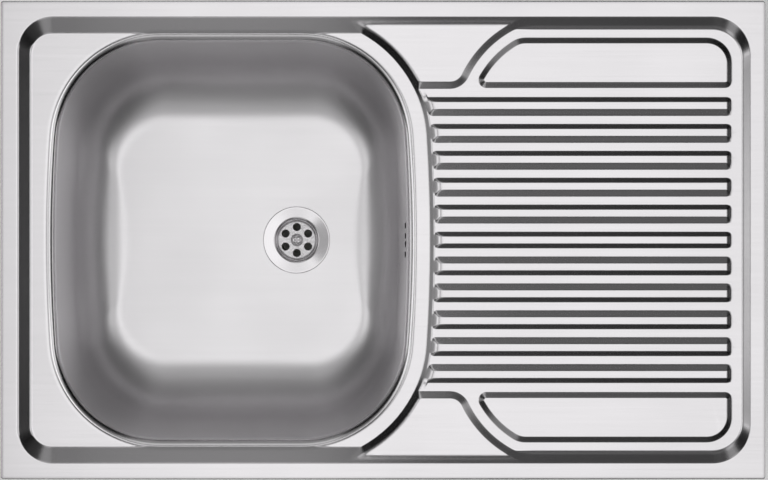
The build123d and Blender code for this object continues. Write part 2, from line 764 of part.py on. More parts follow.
def bracket(x, side):
    """Angle bracket whose tab lies on the hem and whose leg hangs inside the cabinet's panel."""
    with BuildPart() as angle:
        with BuildSketch(Plane((x, 0, 0), x_dir=(0, side, 0), z_dir=(side, 0, 0))):
            with BuildLine():
                Polyline(
                    (hem_inner_y + bracket_tab, sheet),
                    (hem_inner_y + bracket_tab, sheet + bracket_sheet),
                    (leg_outer_y - bracket_sheet, sheet + bracket_sheet),
                    (leg_outer_y - bracket_sheet, sheet + bracket_sheet - bracket_leg),
                    (leg_outer_y, sheet + bracket_sheet - bracket_leg),
                    (leg_outer_y, sheet),
                    (hem_inner_y + bracket_tab, sheet),
                )
            make_face()
        extrude(amount=bracket_width / 2, both=True)
        bend_y = side * (leg_outer_y - bracket_sheet)
        bend = angle.edges().filter_by(Axis.X).sort_by_distance((x, bend_y, sheet + bracket_sheet))[0]
        fillet(bend, bracket_sheet)
        with BuildSketch(Plane((x, side * leg_outer_y, screw_z), x_dir=(1, 0, 0), z_dir=(0, side, 0))):
            SlotOverall(bracket_slot_length, 2 * (wood_screw_radius + shaft_clearance), rotation=bracket_slot_tilt)
        extrude(amount=-2 * bracket_sheet, mode=Mode.SUBTRACT)
    return angle.part


def wood_screw(x, side):
    """Pan-head wood screw through a bracket's slot, driven outwards."""
    with BuildPart() as screw:
        with BuildSketch(Plane((x, side * (leg_outer_y - bracket_sheet), screw_z), z_dir=(0, -side, 0))):
            Circle(wood_screw_head_radius)
        extrude(amount=wood_screw_head_height)
        fillet(screw.edges().filter_by(GeomType.CIRCLE).sort_by_distance((x, 0, screw_z))[0], wood_screw_round)
        with BuildSketch(Plane((x, side * (leg_outer_y - bracket_sheet), screw_z), z_dir=(0, side, 0))):
            Circle(wood_screw_radius)
        extrude(amount=wood_screw_length, taper=wood_screw_taper)
    return screw.part


bracket_x = sink_length / 2 - bracket_inset
bracket_places = [(x, side) for x in (-bracket_x, bracket_x) for side in (-1, 1)]
with BuildPart() as fixing_brackets:
    for x, side in bracket_places:
        add(bracket(x, side))
fixing_brackets.part.label = "fixing_brackets"
export_step(fixing_brackets.part, "parts/fixing_brackets.step")

with BuildPart() as bracket_screws:
    for x, side in bracket_places:
        add(wood_screw(x, side))
bracket_screws.part.label = "bracket_screws"
export_step(bracket_screws.part, "parts/bracket_screws.step")
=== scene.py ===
"""Kitchen sink with a ribbed drainboard, dressed in brushed steel on its packed frame.

The properties, the node trees and the materials are in metres. Outlines, profiles and points are in millimetres, as
mm() gives them, and place() turns them back into metres.
"""

import json
import math
from functools import partial

import bmesh
import bpy
import numpy as np
from bpy.props import FloatProperty, FloatVectorProperty, IntProperty, PointerProperty
from mathutils.geometry import delaunay_2d_cdt
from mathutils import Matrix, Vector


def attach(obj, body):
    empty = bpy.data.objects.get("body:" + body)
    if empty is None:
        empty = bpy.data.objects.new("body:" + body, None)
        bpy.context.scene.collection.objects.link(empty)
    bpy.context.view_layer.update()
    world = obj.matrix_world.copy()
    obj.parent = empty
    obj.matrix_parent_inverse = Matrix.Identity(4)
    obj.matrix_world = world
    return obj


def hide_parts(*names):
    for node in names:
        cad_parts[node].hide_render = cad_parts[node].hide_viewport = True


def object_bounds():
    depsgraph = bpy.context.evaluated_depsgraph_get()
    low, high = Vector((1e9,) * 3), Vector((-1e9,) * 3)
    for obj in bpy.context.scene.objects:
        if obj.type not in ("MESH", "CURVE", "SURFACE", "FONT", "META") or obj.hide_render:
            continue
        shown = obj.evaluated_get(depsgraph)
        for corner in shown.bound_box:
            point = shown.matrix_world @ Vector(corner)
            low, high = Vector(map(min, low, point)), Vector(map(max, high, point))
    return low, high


bl_info = {
    "name": "Kitchen sink with drainboard",
    "version": (1, 0, 0),
    "blender": (4, 5, 0),
    "location": "View3D > Sidebar > Sink",
    "description": "Builds a lay-on sink with its bowl, drainboard, waste and overflow",
    "category": "Object",
}

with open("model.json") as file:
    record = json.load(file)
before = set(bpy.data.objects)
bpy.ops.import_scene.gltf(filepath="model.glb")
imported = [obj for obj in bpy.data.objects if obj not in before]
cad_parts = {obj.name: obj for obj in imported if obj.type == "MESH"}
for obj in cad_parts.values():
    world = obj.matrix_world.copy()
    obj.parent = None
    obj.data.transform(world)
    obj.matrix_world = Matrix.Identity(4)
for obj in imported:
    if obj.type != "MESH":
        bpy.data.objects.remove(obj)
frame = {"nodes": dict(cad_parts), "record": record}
cad_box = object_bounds()


def length(name, millimetres, text):
    """A length that a user may change, kept in metres."""
    return FloatProperty(name=name, description=text, default=millimetres / 1000, unit="LENGTH", precision=4)


def colour(name, value, text):
    """A surface colour that a user may change."""
    return FloatVectorProperty(name=name, description=text, default=value, subtype="COLOR", size=3, min=0, max=1)


def angle(name, degrees, text):
    """An angle that a user may change."""
    return FloatProperty(name=name, description=text, default=math.radians(degrees), subtype="ANGLE", unit="ROTATION")


# ---------------------------------------------------------------- sizes
class SinkDeckSizes(bpy.types.PropertyGroup):
    """Sizes of the pressed deck."""

    long: length("Length", 800, "Length of the sink from end to end")
    wide: length("Width", 500, "Width of the sink from front to back")
    sheet: length("Sheet", 0.8, "Thickness of the steel")
    height: length("Edge height", 30, "Height of the folded edge")
    edge_bend: length("Edge bend", 1.0, "Radius of the fold at the rim")
    corner: length("Corner", 2.5, "Radius of the deck's outer corners")
    hem: length("Hem", 12, "Width of the hem under the folded edge")
    hem_bend: length("Hem bend", 1.0, "Outer radius of the fold into the hem")
    surround_drop: length("Surround drop", 9.5, "Fall from the rim to the strip round the bowl")
    surround_width: length("Surround width", 16, "Width of the strip round the bowl")
    land_rise: length("Land rise", 2.5, "Height of the drainboard above the strip round the bowl")
    ledge_rise: length("Ledge rise", 3, "Height of the tap ledges above the drainboard")
    panel_rise: length("Panel rise", 3, "Height of the corner panels above the drainboard")
    bend: length("Bend", 0.5, "Half the width of a pressed bend, seen from above")
    rib_count: IntProperty(name="Ribs", description="Number of ribs", default=11, min=1)
    rib_pitch: length("Rib pitch", 28.2, "Distance from rib to rib")
    rib_height: length("Rib height", 3, "Height of a rib above the drainboard")
    rib_top: length("Rib top", 7.5, "Width of a rib's flat top")
    rib_outer_run: length("Outer run", 5, "Width of a rib's wall on the side away from the middle")
    rib_inner_run: length("Inner run", 7, "Width of a rib's wall on the side towards the middle")
    rib_middle_run: length("Middle run", 4.8, "Width of the middle rib's walls")
    rib_end: length("Rib end", 360.3, "Where the ribs' tops end, from the sink's middle")
    rib_end_run: length("End run", 5.4, "Width of the slope at a rib's end")


class SinkBowlSizes(bpy.types.PropertyGroup):
    """Sizes of the drawn bowl."""

    centre: length("Centre", -159.8, "Middle of the mouth, from the sink's middle")
    long: length("Mouth length", 385.5, "Length of the mouth along the sink")
    wide: length("Mouth width", 434, "Width of the mouth across the sink")
    corner: length("Mouth corner", 115, "Radius of the mouth's corners")
    bow: length("Bow", 1700, "Radius of the two bowed end walls")
    depth: length("Depth", 160, "Depth of the floor below the rim")
    lip: length("Lip", 8, "Width that the rolled lip takes from the mouth")
    lip_radius: length("Lip radius", 10, "Radius of the rolled lip, which starts under the deck's edge")
    flange: length("Flange", 8, "Width of the flange welded under the deck")
    floor_corner: length("Floor corner", 92, "Radius of the wall's corners at the floor")
    floor_bend: length("Floor bend", 52, "Radius of the bend between the end walls and the floor")
    side_bend: length("Side bend", 66, "Radius of the bend between the side walls and the floor")
    end_draft: angle("End draft", 5, "Lean of the end walls")
    side_draft: angle("Side draft", 10, "Lean of the side walls")
    slot_drop: length("Slot drop", 38, "Depth of the overflow slots' middle below the rim")
    slot_width: length("Slot width", 6.3, "Width of an overflow slot")
    slot_height: length("Slot height", 15, "Height of an overflow slot")
    slot_inner: length("Inner slots", 4.4, "Middle of the two inner slots, from the sink's middle")
    slot_outer: length("Outer slots", 15.4, "Middle of the two outer slots, from the sink's middle")


class SinkWasteSizes(bpy.types.PropertyGroup):
    """Sizes of the strainer and the seat that it lies in."""

    centre: length("Centre", -97, "Middle of the waste, from the sink's middle")
    seat_depth: length("Seat depth", 2.2, "Depth of the seat below the bowl's floor")
    seat_radius: length("Seat radius", 37.22, "Radius of the level seat")
    seat_run: length("Seat run", 0.14, "Width of the slope into the seat")
    outlet: length("Outlet", 26, "Radius of the bowl's waste hole")
    flange: length("Strainer radius", 37.2, "Radius of the strainer's flange")
    throat: length("Throat", 24.5, "Radius of the strainer's throat")
    plate: length("Plate", 21.4, "Radius of the strainer's plate")
    cup: length("Cup depth", 6, "Depth of the plate below the flange")
    sheet: length("Strainer sheet", 1, "Thickness of the strainer")
    dimple: length("Dimple", 6.6, "Radius of the dimple round the screw")
    dimple_depth: length("Dimple depth", 1.6, "Depth of the dimple")
    hole_count: IntProperty(name="Holes", description="Number of strainer holes", default=6, min=1)
    hole: length("Hole", 4.6, "Radius of a strainer hole")
    hole_circle: length("Hole circle", 14.6, "Radius of the circle that the holes stand on")
    screw_head: length("Screw head", 5.0, "Radius of the screw's head")
    screw_rise: length("Head height", 2.6, "Height of the screw's head")
    screw: length("Screw", 3, "Radius of the screw's shank")
    screw_long: length("Screw length", 23, "Length of the screw's shank")


class SinkFinish(bpy.types.PropertyGroup):
    """Colours of the finishes and of the floor."""

    steel: colour("Steel", (0.70, 0.685, 0.70), "Brushed stainless steel")
    satin_steel: colour("Satin steel", (0.86, 0.845, 0.86), "Satin stainless steel inside the bowl")
    bright_steel: colour("Bright steel", (0.72, 0.705, 0.72), "Turned and polished steel")
    white_plastic: colour("White plastic", (0.80, 0.80, 0.77), "Moulded parts of the waste and overflow")
    grey_plastic: colour("Grey plastic", (0.46, 0.47, 0.48), "Moulded union nuts")
    rubber: colour("Rubber", (0.030, 0.030, 0.032), "Seals and washers")
    bitumen: colour("Bitumen", (0.045, 0.043, 0.040), "Sound-deadening pads")
    zinc: colour("Zinc", (0.56, 0.58, 0.61), "Plated brackets")
    yellow_zinc: colour("Yellow zinc", (0.66, 0.55, 0.33), "Plated wood screws")
    brass: colour("Brass", (0.72, 0.52, 0.22), "Insert for the strainer's screw")
    floor: colour("Floor", (0.86, 0.86, 0.86), "Plain floor that the sink stands on")


groups = (
    ("sink_deck", SinkDeckSizes),
    ("sink_bowl", SinkBowlSizes),
    ("sink_waste", SinkWasteSizes),
    ("sink_finish", SinkFinish),
)


def mm(metres):
    """Millimetres, rounded to a thousandth so that a stored size reads as it was written."""
    return round(metres * 1000, 3)


# ---------------------------------------------------------------- outlines, in millimetres
quarter = math.pi / 2


def arc(centre, radius, start, end, steps):
    """Points along an arc, both ends included."""
    turn = np.linspace(start, end, steps + 1)
    return np.stack([centre[0] + radius * np.cos(turn), centre[1] + radius * np.sin(turn)], axis=1)


def between(a, b, steps):
    """Points between two ends, neither end included."""
    share = np.linspace(0, 1, steps + 1)[1:-1, None]
    return np.asarray(a) * (1 - share) + np.asarray(b) * share


def rounded_box(left, right, half_y, radius_left, radius_right, turn_steps, side_steps):
    """Counter-clockwise outline of a box with rounded corners."""
    corners = (
        ((right - radius_right, -half_y + radius_right), radius_right, -quarter),
        ((right - radius_right, half_y - radius_right), radius_right, 0),
        ((left + radius_left, half_y - radius_left), radius_left, quarter),
        ((left + radius_left, -half_y + radius_left), radius_left, 2 * quarter),
    )
    turns = [arc(centre, radius, start, start + quarter, turn_steps) for centre, radius, start in corners]
    points = []
    for turn, following in zip(turns, turns[1:] + turns[:1]):
        points += [turn, between(turn[-1], following[0], side_steps)]
    return np.concatenate(points)


def bowed_outline(centre_x, half_x, half_y, radius, bow):
    """Counter-clockwise outline of the bowl at one height: bowed ends, straight sides."""
    corner_y = half_y - radius
    bow_x = half_x - bow
    corner_x = bow_x + math.sqrt((bow - radius) ** 2 - corner_y**2)
    reach = math.atan2(corner_y, corner_x - bow_x)
    end_steps, turn_steps, side_steps = 48, 24, 12
    end = arc((bow_x, 0), bow, -reach, reach, end_steps)
    turn = arc((corner_x, corner_y), radius, reach, quarter, turn_steps)[1:]
    side = between((corner_x, half_y), (-corner_x, half_y), side_steps)
    points = np.concatenate([end, turn, side, turn[::-1] * (-1, 1), end[-2::-1] * (-1, 1),
                             turn * (-1, -1), side * (-1, -1), turn[::-1] * (1, -1)])
    return points + (centre_x, 0)


def mouth_outline(bowl, grow):
    """The bowl's mouth, grown outwards."""
    return bowed_outline(mm(bowl.centre), mm(bowl.long) / 2 + grow, mm(bowl.wide) / 2 + grow,
                         mm(bowl.corner) + grow, mm(bowl.bow) + grow)


def outward(points):
    """Outward direction at each point of a closed counter-clockwise outline."""
    along = np.roll(points, -1, axis=0) - np.roll(points, 1, axis=0)
    along /= np.linalg.norm(along, axis=1)[:, None]
    return np.stack([along[:, 1], -along[:, 0]], axis=1)


def at_height(flat, height):
    """A flat outline raised to one height, or to a height for each of its points."""
    return np.column_stack([flat, np.broadcast_to(height, len(flat))])


def distance_to(points, outline):
    """Distance of each point from a closed outline, negative inside it."""
    best = np.full(len(points), np.inf)
    inside = np.zeros(len(points), bool)
    nothing = 1e-12
    for a, b in zip(outline, np.roll(outline, -1, axis=0)):
        edge = b - a
        size = edge @ edge
        if size < nothing:
            continue
        rel = points - a
        share = np.clip(rel @ edge / size, 0, 1)
        best = np.minimum(best, np.hypot(rel[:, 0] - share * edge[0], rel[:, 1] - share * edge[1]))
        if abs(edge[1]) > nothing:
            spans = (a[1] > points[:, 1]) != (b[1] > points[:, 1])
            inside ^= spans & (rel[:, 0] < rel[:, 1] * edge[0] / edge[1])
    return np.where(inside, -best, best)


def soft_ramp(u, half_width):
    """u where it is positive and 0 where it is negative, with the corner rounded."""
    share = np.clip((u + half_width) / (2 * half_width), 0, 1)
    return half_width * share**2 + np.maximum(u - half_width, 0)


def fall_share(u, run, half_width):
    """Share of a pressed wall's fall at distance u from its top line."""
    return np.clip((soft_ramp(u, half_width) - soft_ramp(u - run, half_width)) / run, 0, 1)


def higher(a, b):
    """The higher of two heights, with the crease between them rounded."""
    power = 8
    return (np.maximum(a, 0) ** power + np.maximum(b, 0) ** power) ** (1 / power)


def lower(a, b, power):
    """The lower of two heights, with the crease between them rounded."""
    least = 1e-3
    a, b = np.maximum(a, least), np.maximum(b, least)
    return a * (1 + (a / b) ** power) ** (-1 / power)


# ---------------------------------------------------------------- making pieces
def place(name, points, faces, finish=None):
    """A mesh object at the origin, from points in millimetres."""
    mesh = bpy.data.meshes.new(name)
    mesh.from_pydata((np.asarray(points, float) / 1000).tolist(), [], faces)
    mesh.update()
    piece = bpy.data.objects.new(name, mesh)
    bpy.context.scene.collection.objects.link(piece)
    if finish is not None:
        mesh.materials.append(finish)
    return piece


def settle(piece, crease=38):
    """Turns a piece with modifiers into one plain mesh, smooth but for creases past so many degrees."""
    bpy.context.view_layer.update()
    made = bpy.data.meshes.new_from_object(piece.evaluated_get(bpy.context.evaluated_depsgraph_get()))
    old, name = piece.data, piece.data.name
    piece.modifiers.clear()
    piece.data = made
    bpy.data.meshes.remove(old)
    made.name = name
    made.shade_smooth()
    made.set_sharp_from_angle(angle=math.radians(crease))
    if not made.polygons:
        raise RuntimeError(f"{piece.name} came out empty")


def weld(piece, distance, turn_out=False):
    """Merges points that coincide within a distance, and turns a closed piece's faces outwards where asked."""
    work = bmesh.new()
    work.from_mesh(piece.data)
    bmesh.ops.remove_doubles(work, verts=work.verts, dist=distance / 1000)
    if turn_out:
        bmesh.ops.recalc_face_normals(work, faces=work.faces)
    work.to_mesh(piece.data)
    work.free()
    piece.data.update()


def thicken(piece, millimetres):
    """Gives a surface its sheet thickness, on the side away from its normals."""
    wall = piece.modifiers.new("Sheet", "SOLIDIFY")
    wall.thickness = millimetres / 1000
    wall.offset = -1
    wall.use_rim = True
    wall.use_even_offset = False


def bridge(loops, first=0):
    """Quads between successive closed loops that have the same number of points."""
    count = len(loops[0])
    faces = []
    for level in range(len(loops) - 1):
        low = first + level * count
        high = low + count
        for i in range(count):
            j = (i + 1) % count
            faces.append((low + i, low + j, high + j, high + i))
    return faces


def prism(name, low, high):
    """Closed solid between two loops that have the same number of points."""
    count = len(low)
    ends = [tuple(range(count))[::-1], tuple(range(count, 2 * count))]
    return place(name, list(low) + list(high), ends + bridge((low, high)))


def lathe(name, profile, centre, finish, segments):
    """Closed ring or plug turned from a profile of (radius, height), listed from the inside up and outwards."""
    points, faces, rings = [], [], []
    for radius, height in profile:
        count = segments if radius > 1e-6 else 1
        rings.append(range(len(points), len(points) + count))
        for i in range(count):
            turn = 2 * math.pi * i / segments
            points.append((centre[0] + radius * math.cos(turn), centre[1] + radius * math.sin(turn), height))
    pairs = list(zip(rings, rings[1:]))
    if len(rings[0]) > 1:
        pairs.append((rings[-1], rings[0]))
    for a, b in pairs:
        for i in range(segments):
            j = (i + 1) % segments
            if len(a) == 1:
                faces.append((a[0], b[i], b[j]))
            elif len(b) == 1:
                faces.append((a[j], a[i], b[0]))
            else:
                faces.append((a[j], a[i], b[i], b[j]))
    return place(name, points, faces, finish)


def show(piece, node):
    """Puts a finished piece on the frame, in place of the node that it stands for."""
    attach(piece, "root")
    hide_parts(node)


# ---------------------------------------------------------------- node helpers
def feed(tree, socket, value):
    """Links a socket, or sets it to a plain value."""
    if isinstance(value, bpy.types.NodeSocket):
        tree.links.new(value, socket)
    else:
        socket.default_value = value


def add_node(tree, kind, inputs, **settings):
    """A node with its settings made, and its inputs linked or set."""
    node = tree.nodes.new(kind)
    for label, value in settings.items():
        setattr(node, label, value)
    for label, value in inputs.items():
        feed(tree, node.inputs[label], value)
    return node


def math_node(tree, operation, *values):
    """Output of a math node on sockets or numbers."""
    return add_node(tree, "ShaderNodeMath", dict(enumerate(values)), operation=operation).outputs[0]


def split(tree, vector):
    """The three parts of a vector."""
    return add_node(tree, "ShaderNodeSeparateXYZ", {0: vector}).outputs


def new_tree(name, numbers, others):
    """Geometry tree with numbers and their defaults, and other kinds of input, by their names."""
    tree = bpy.data.node_groups.new(name, "GeometryNodeTree")
    tree.interface.new_socket("Geometry", in_out="INPUT", socket_type="NodeSocketGeometry")
    for label, value in numbers.items():
        kind = "NodeSocketInt" if isinstance(value, int) else "NodeSocketFloat"
        tree.interface.new_socket(label, in_out="INPUT", socket_type=kind).default_value = value
    for label, kind in others.items():
        tree.interface.new_socket(label, in_out="INPUT", socket_type="NodeSocket" + kind)
    tree.interface.new_socket("Geometry", in_out="OUTPUT", socket_type="NodeSocketGeometry")
    return tree, tree.nodes.new("NodeGroupInput").outputs, tree.nodes.new("NodeGroupOutput")


def end_tree(tree, geometry, finish, out):
    """Realize Instances and Set Material before the output."""
    real = add_node(tree, "GeometryNodeRealizeInstances", {"Geometry": geometry})
    paint = add_node(tree, "GeometryNodeSetMaterial", {"Geometry": real.outputs["Geometry"], "Material": finish})
    tree.links.new(paint.outputs["Geometry"], out.inputs["Geometry"])


def end_with_holes(tree, given, holes, out):
    """Cuts the holes out of the given geometry, and ends the tree."""
    real = add_node(tree, "GeometryNodeRealizeInstances", {"Geometry": holes})
    cut = add_node(tree, "GeometryNodeMeshBoolean", {"Mesh 1": given["Geometry"], "Mesh 2": real.outputs["Geometry"]},
                   operation="DIFFERENCE", solver="EXACT")
    end_tree(tree, cut.outputs["Mesh"], given["Steel"], out)


def run_tree(piece, tree, values):
    """Adds a geometry tree to a piece and sets its inputs by their identifiers."""
    modifier = piece.modifiers.new(tree.name, "NODES")
    modifier.node_group = tree
    for item in tree.interface.items_tree:
        if item.item_type == "SOCKET" and item.in_out == "INPUT" and item.name in values:
            modifier[item.identifier] = values[item.name]


# how sharp the crease above the slope round the bowl is on the flat land, and how much less it is on a raised form
crease_power, raised_crease_loss = 14.0, 6.0


def press_ribs_tree():
    """Raises parallel ribs along X out of a flat land.

    The mesh stores height_limit, which is how high the slope round the bowl lets a rib rise, and before_ribs, which
    is how far a point lies before the start of the ribs' tops, in shares of the slope that they start with.
    """
    tree, size, out = new_tree("Press ribs", {
        "Rib count": 11, "Pitch": 0.0282, "Top width": 0.0075, "Outer run": 0.005, "Inner run": 0.007,
        "Middle run": 0.0048, "Height": 0.003, "End": 0.3603, "End run": 0.0054, "Strip level": 0.0205,
        "Land rise": 0.0025, "Bend share": 0.1}, {"Steel": "Material"})
    calc = partial(math_node, tree)
    nothing = 1e-7

    def stored(name):
        return add_node(tree, "GeometryNodeInputNamedAttribute", {"Name": name}, data_type="FLOAT").outputs["Attribute"]

    def clamp(value):
        return calc("MAXIMUM", calc("MINIMUM", value, 1.0), 0.0)

    x, y, z = split(tree, tree.nodes.new("GeometryNodeInputPosition").outputs[0])
    half = calc("DIVIDE", calc("SUBTRACT", size["Rib count"], 1.0), 2.0)
    index = calc("ROUND", calc("DIVIDE", y, size["Pitch"]))
    index = calc("MAXIMUM", calc("MINIMUM", index, half), calc("MULTIPLY", half, -1.0))
    side = calc("SIGN", index)
    off = calc("SUBTRACT", y, calc("MULTIPLY", index, size["Pitch"]))
    away = calc("GREATER_THAN", calc("MULTIPLY", off, side), 0.0)
    run = calc("ADD", size["Inner run"],
               calc("MULTIPLY", away, calc("SUBTRACT", size["Outer run"], size["Inner run"])))
    middle = calc("SUBTRACT", 1.0, calc("ABSOLUTE", side))
    run = calc("ADD", run, calc("MULTIPLY", middle, calc("SUBTRACT", size["Middle run"], run)))
    flat = calc("DIVIDE", size["Top width"], 2.0)
    across = calc("DIVIDE", calc("SUBTRACT", calc("ABSOLUTE", off), flat), run)
    beyond = calc("DIVIDE", calc("SUBTRACT", x, size["End"]), size["End run"])
    beyond = calc("MAXIMUM", beyond, stored("before_ribs"))
    across_out = calc("MAXIMUM", across, 0.0)
    beyond_out = calc("MAXIMUM", beyond, 0.0)
    outside = calc("SQRT", calc("ADD", calc("MULTIPLY", across_out, across_out),
                                calc("MULTIPLY", beyond_out, beyond_out)))
    reach = calc("ADD", outside, calc("MINIMUM", calc("MAXIMUM", across, beyond), 0.0))

    def ramp(u):
        bend = size["Bend share"]
        share = clamp(calc("DIVIDE", calc("ADD", u, bend), calc("MULTIPLY", bend, 2.0)))
        return calc("ADD", calc("MULTIPLY", bend, calc("MULTIPLY", share, share)),
                    calc("MAXIMUM", calc("SUBTRACT", u, bend), 0.0))

    fall = clamp(calc("SUBTRACT", ramp(reach), ramp(calc("SUBTRACT", reach, 1.0))))
    height = calc("MULTIPLY", size["Height"], calc("SUBTRACT", 1.0, fall))
    rise = calc("ADD", size["Land rise"], height)
    limit = stored("height_limit")
    ratio = calc("DIVIDE", rise, calc("MAXIMUM", limit, 1e-6))
    loss = calc("MULTIPLY", raised_crease_loss, calc("DIVIDE", height, size["Height"]))
    power = calc("SUBTRACT", crease_power, loss)
    rounded = calc("POWER", calc("ADD", 1.0, calc("POWER", ratio, power)), calc("DIVIDE", -1.0, power))
    level = calc("ADD", size["Strip level"], calc("MULTIPLY", rise, rounded))
    lift = calc("MAXIMUM", calc("SUBTRACT", level, z), 0.0)
    for needed in (height, limit):
        lift = calc("MULTIPLY", lift, calc("GREATER_THAN", needed, nothing))
    shift = add_node(tree, "ShaderNodeCombineXYZ", {"Z": lift})
    press = add_node(tree, "GeometryNodeSetPosition", {"Geometry": size["Geometry"], "Offset": shift.outputs[0]})
    end_tree(tree, press.outputs["Geometry"], size["Steel"], out)
    return tree


def punch_tree():
    """Punches holes of one shape, from a punch object at every point of a second object."""
    tree, given, out = new_tree("Punch holes", {}, {"Places": "Object", "Punch": "Object", "Steel": "Material"})
    places, punch = (add_node(tree, "GeometryNodeObjectInfo", {"Object": given[label]}).outputs["Geometry"]
                     for label in ("Places", "Punch"))
    copies = add_node(tree, "GeometryNodeInstanceOnPoints", {"Points": places, "Instance": punch})
    end_with_holes(tree, given, copies.outputs["Instances"], out)
    return tree


def ring_of_holes_tree():
    """Drills a ring of round holes through a plate, straight along Z."""
    tree, size, out = new_tree("Ring of holes", {
        "Holes": 6, "Hole radius": 0.0046, "Circle radius": 0.0146, "Depth": 0.01},
        {"Centre": "Vector", "Steel": "Material"})
    circle = add_node(tree, "GeometryNodeMeshCircle", {"Vertices": size["Holes"], "Radius": size["Circle radius"]})
    drill = add_node(tree, "GeometryNodeMeshCylinder", {
        "Vertices": 40, "Radius": size["Hole radius"], "Depth": size["Depth"]})
    copies = add_node(tree, "GeometryNodeInstanceOnPoints", {
        "Points": circle.outputs["Mesh"], "Instance": drill.outputs["Mesh"]})
    turned = add_node(tree, "GeometryNodeTransform", {
        "Geometry": copies.outputs["Instances"], "Translation": size["Centre"], "Rotation": (0, 0, quarter)})
    end_with_holes(tree, size, turned.outputs["Geometry"], out)
    return tree


# ---------------------------------------------------------------- finishes
def noise(tree, vector, scale, detail, roughness=0.5):
    """Factor of a noise texture."""
    return add_node(tree, "ShaderNodeTexNoise", {
        "Vector": vector, "Scale": scale, "Detail": detail, "Roughness": roughness}).outputs["Fac"]


def remap(tree, value, low, high, to_low, to_high):
    """Clamped map range."""
    return add_node(tree, "ShaderNodeMapRange", {
        "Value": value, "From Min": low, "From Max": high, "To Min": to_low, "To Max": to_high}).outputs["Result"]


def mapped(tree, vector, scale, rotation=(0, 0, 0), location=(0, 0, 0)):
    """Vector through a Mapping node."""
    return add_node(tree, "ShaderNodeMapping", {
        "Vector": vector, "Scale": scale, "Rotation": rotation, "Location": location}).outputs["Vector"]


def brushed_grain(tree, spot):
    """Fine lines along X, with a few longer scratches and slow cloudy change."""
    calc = partial(math_node, tree)
    lines = noise(tree, mapped(tree, spot, (14, 1700, 1700)), 1.0, 4.0, 0.6)
    streaks = noise(tree, mapped(tree, spot, (3, 260, 260)), 1.0, 2.0)
    scratches = [
        remap(tree, noise(tree, mapped(tree, spot, (8, 900, 900), (0, 0, lean)), 1.0, 1.0), low, low + 0.06, 0, 1)
        for lean, low in ((0.5, 0.70), (-0.9, 0.71))]
    return {"Grain": calc("ADD", calc("MULTIPLY", lines, 0.65), calc("MULTIPLY", streaks, 0.35)),
            "Clouds": noise(tree, spot, 9.0, 2.0), "Scratches": calc("MAXIMUM", *scratches)}


def edge_wear(tree, spot):
    """Mask of edges that hands and cloths have polished, broken up by noise."""
    edge = remap(tree, tree.nodes.new("ShaderNodeNewGeometry").outputs["Pointiness"], 0.52, 0.60, 0, 1)
    patches = remap(tree, noise(tree, spot, 220.0, 3.0), 0.35, 0.65, 0.3, 1)
    return {"Wear": math_node(tree, "MULTIPLY", edge, patches)}


def speckle(tree, spot):
    """Fine moulded or pressed grain, with faint dust."""
    return {"Grain": noise(tree, spot, 1900.0, 2.0),
            "Dust": remap(tree, noise(tree, spot, 34.0, 4.0, 0.65), 0.45, 0.72, 0, 1)}


shared_groups = {"Brushed grain": brushed_grain, "Edge wear": edge_wear, "Speckle and dust": speckle}


def use_group(tree, name, spot):
    """Outputs of a shared group, built once and fed with the Object coordinates."""
    group = bpy.data.node_groups.get(name)
    if group is None:
        group = bpy.data.node_groups.new(name, "ShaderNodeTree")
        group.interface.new_socket("Vector", in_out="INPUT", socket_type="NodeSocketVector")
        made = shared_groups[name](group, group.nodes.new("NodeGroupInput").outputs["Vector"])
        for label in made:
            group.interface.new_socket(label, in_out="OUTPUT", socket_type="NodeSocketFloat")
        end = group.nodes.new("NodeGroupOutput")
        for label, value in made.items():
            group.links.new(value, end.inputs[label])
    return add_node(tree, "ShaderNodeGroup", {"Vector": spot}, node_tree=group).outputs


def start_finish(name):
    """Material with its tree, its shader's inputs and the Object coordinates."""
    finish = bpy.data.materials.new(name)
    finish.use_nodes = True
    tree = finish.node_tree
    shader = next(n for n in tree.nodes if n.type == "BSDF_PRINCIPLED")
    return finish, tree, shader.inputs, tree.nodes.new("ShaderNodeTexCoord").outputs["Object"]


def tint(tree, base, factor, shade):
    """Colour that turns towards shade times itself as factor rises."""
    return add_node(tree, "ShaderNodeMix", {"Factor": factor, "A": (*base, 1), "B": (*[c * shade for c in base], 1)},
                    data_type="RGBA").outputs["Result"]


def bumped(tree, shader, height, depth):
    """Bump of a given depth in metres on the shader."""
    bump = add_node(tree, "ShaderNodeBump", {"Strength": 1.0, "Distance": depth, "Height": height})
    tree.links.new(bump.outputs["Normal"], shader["Normal"])


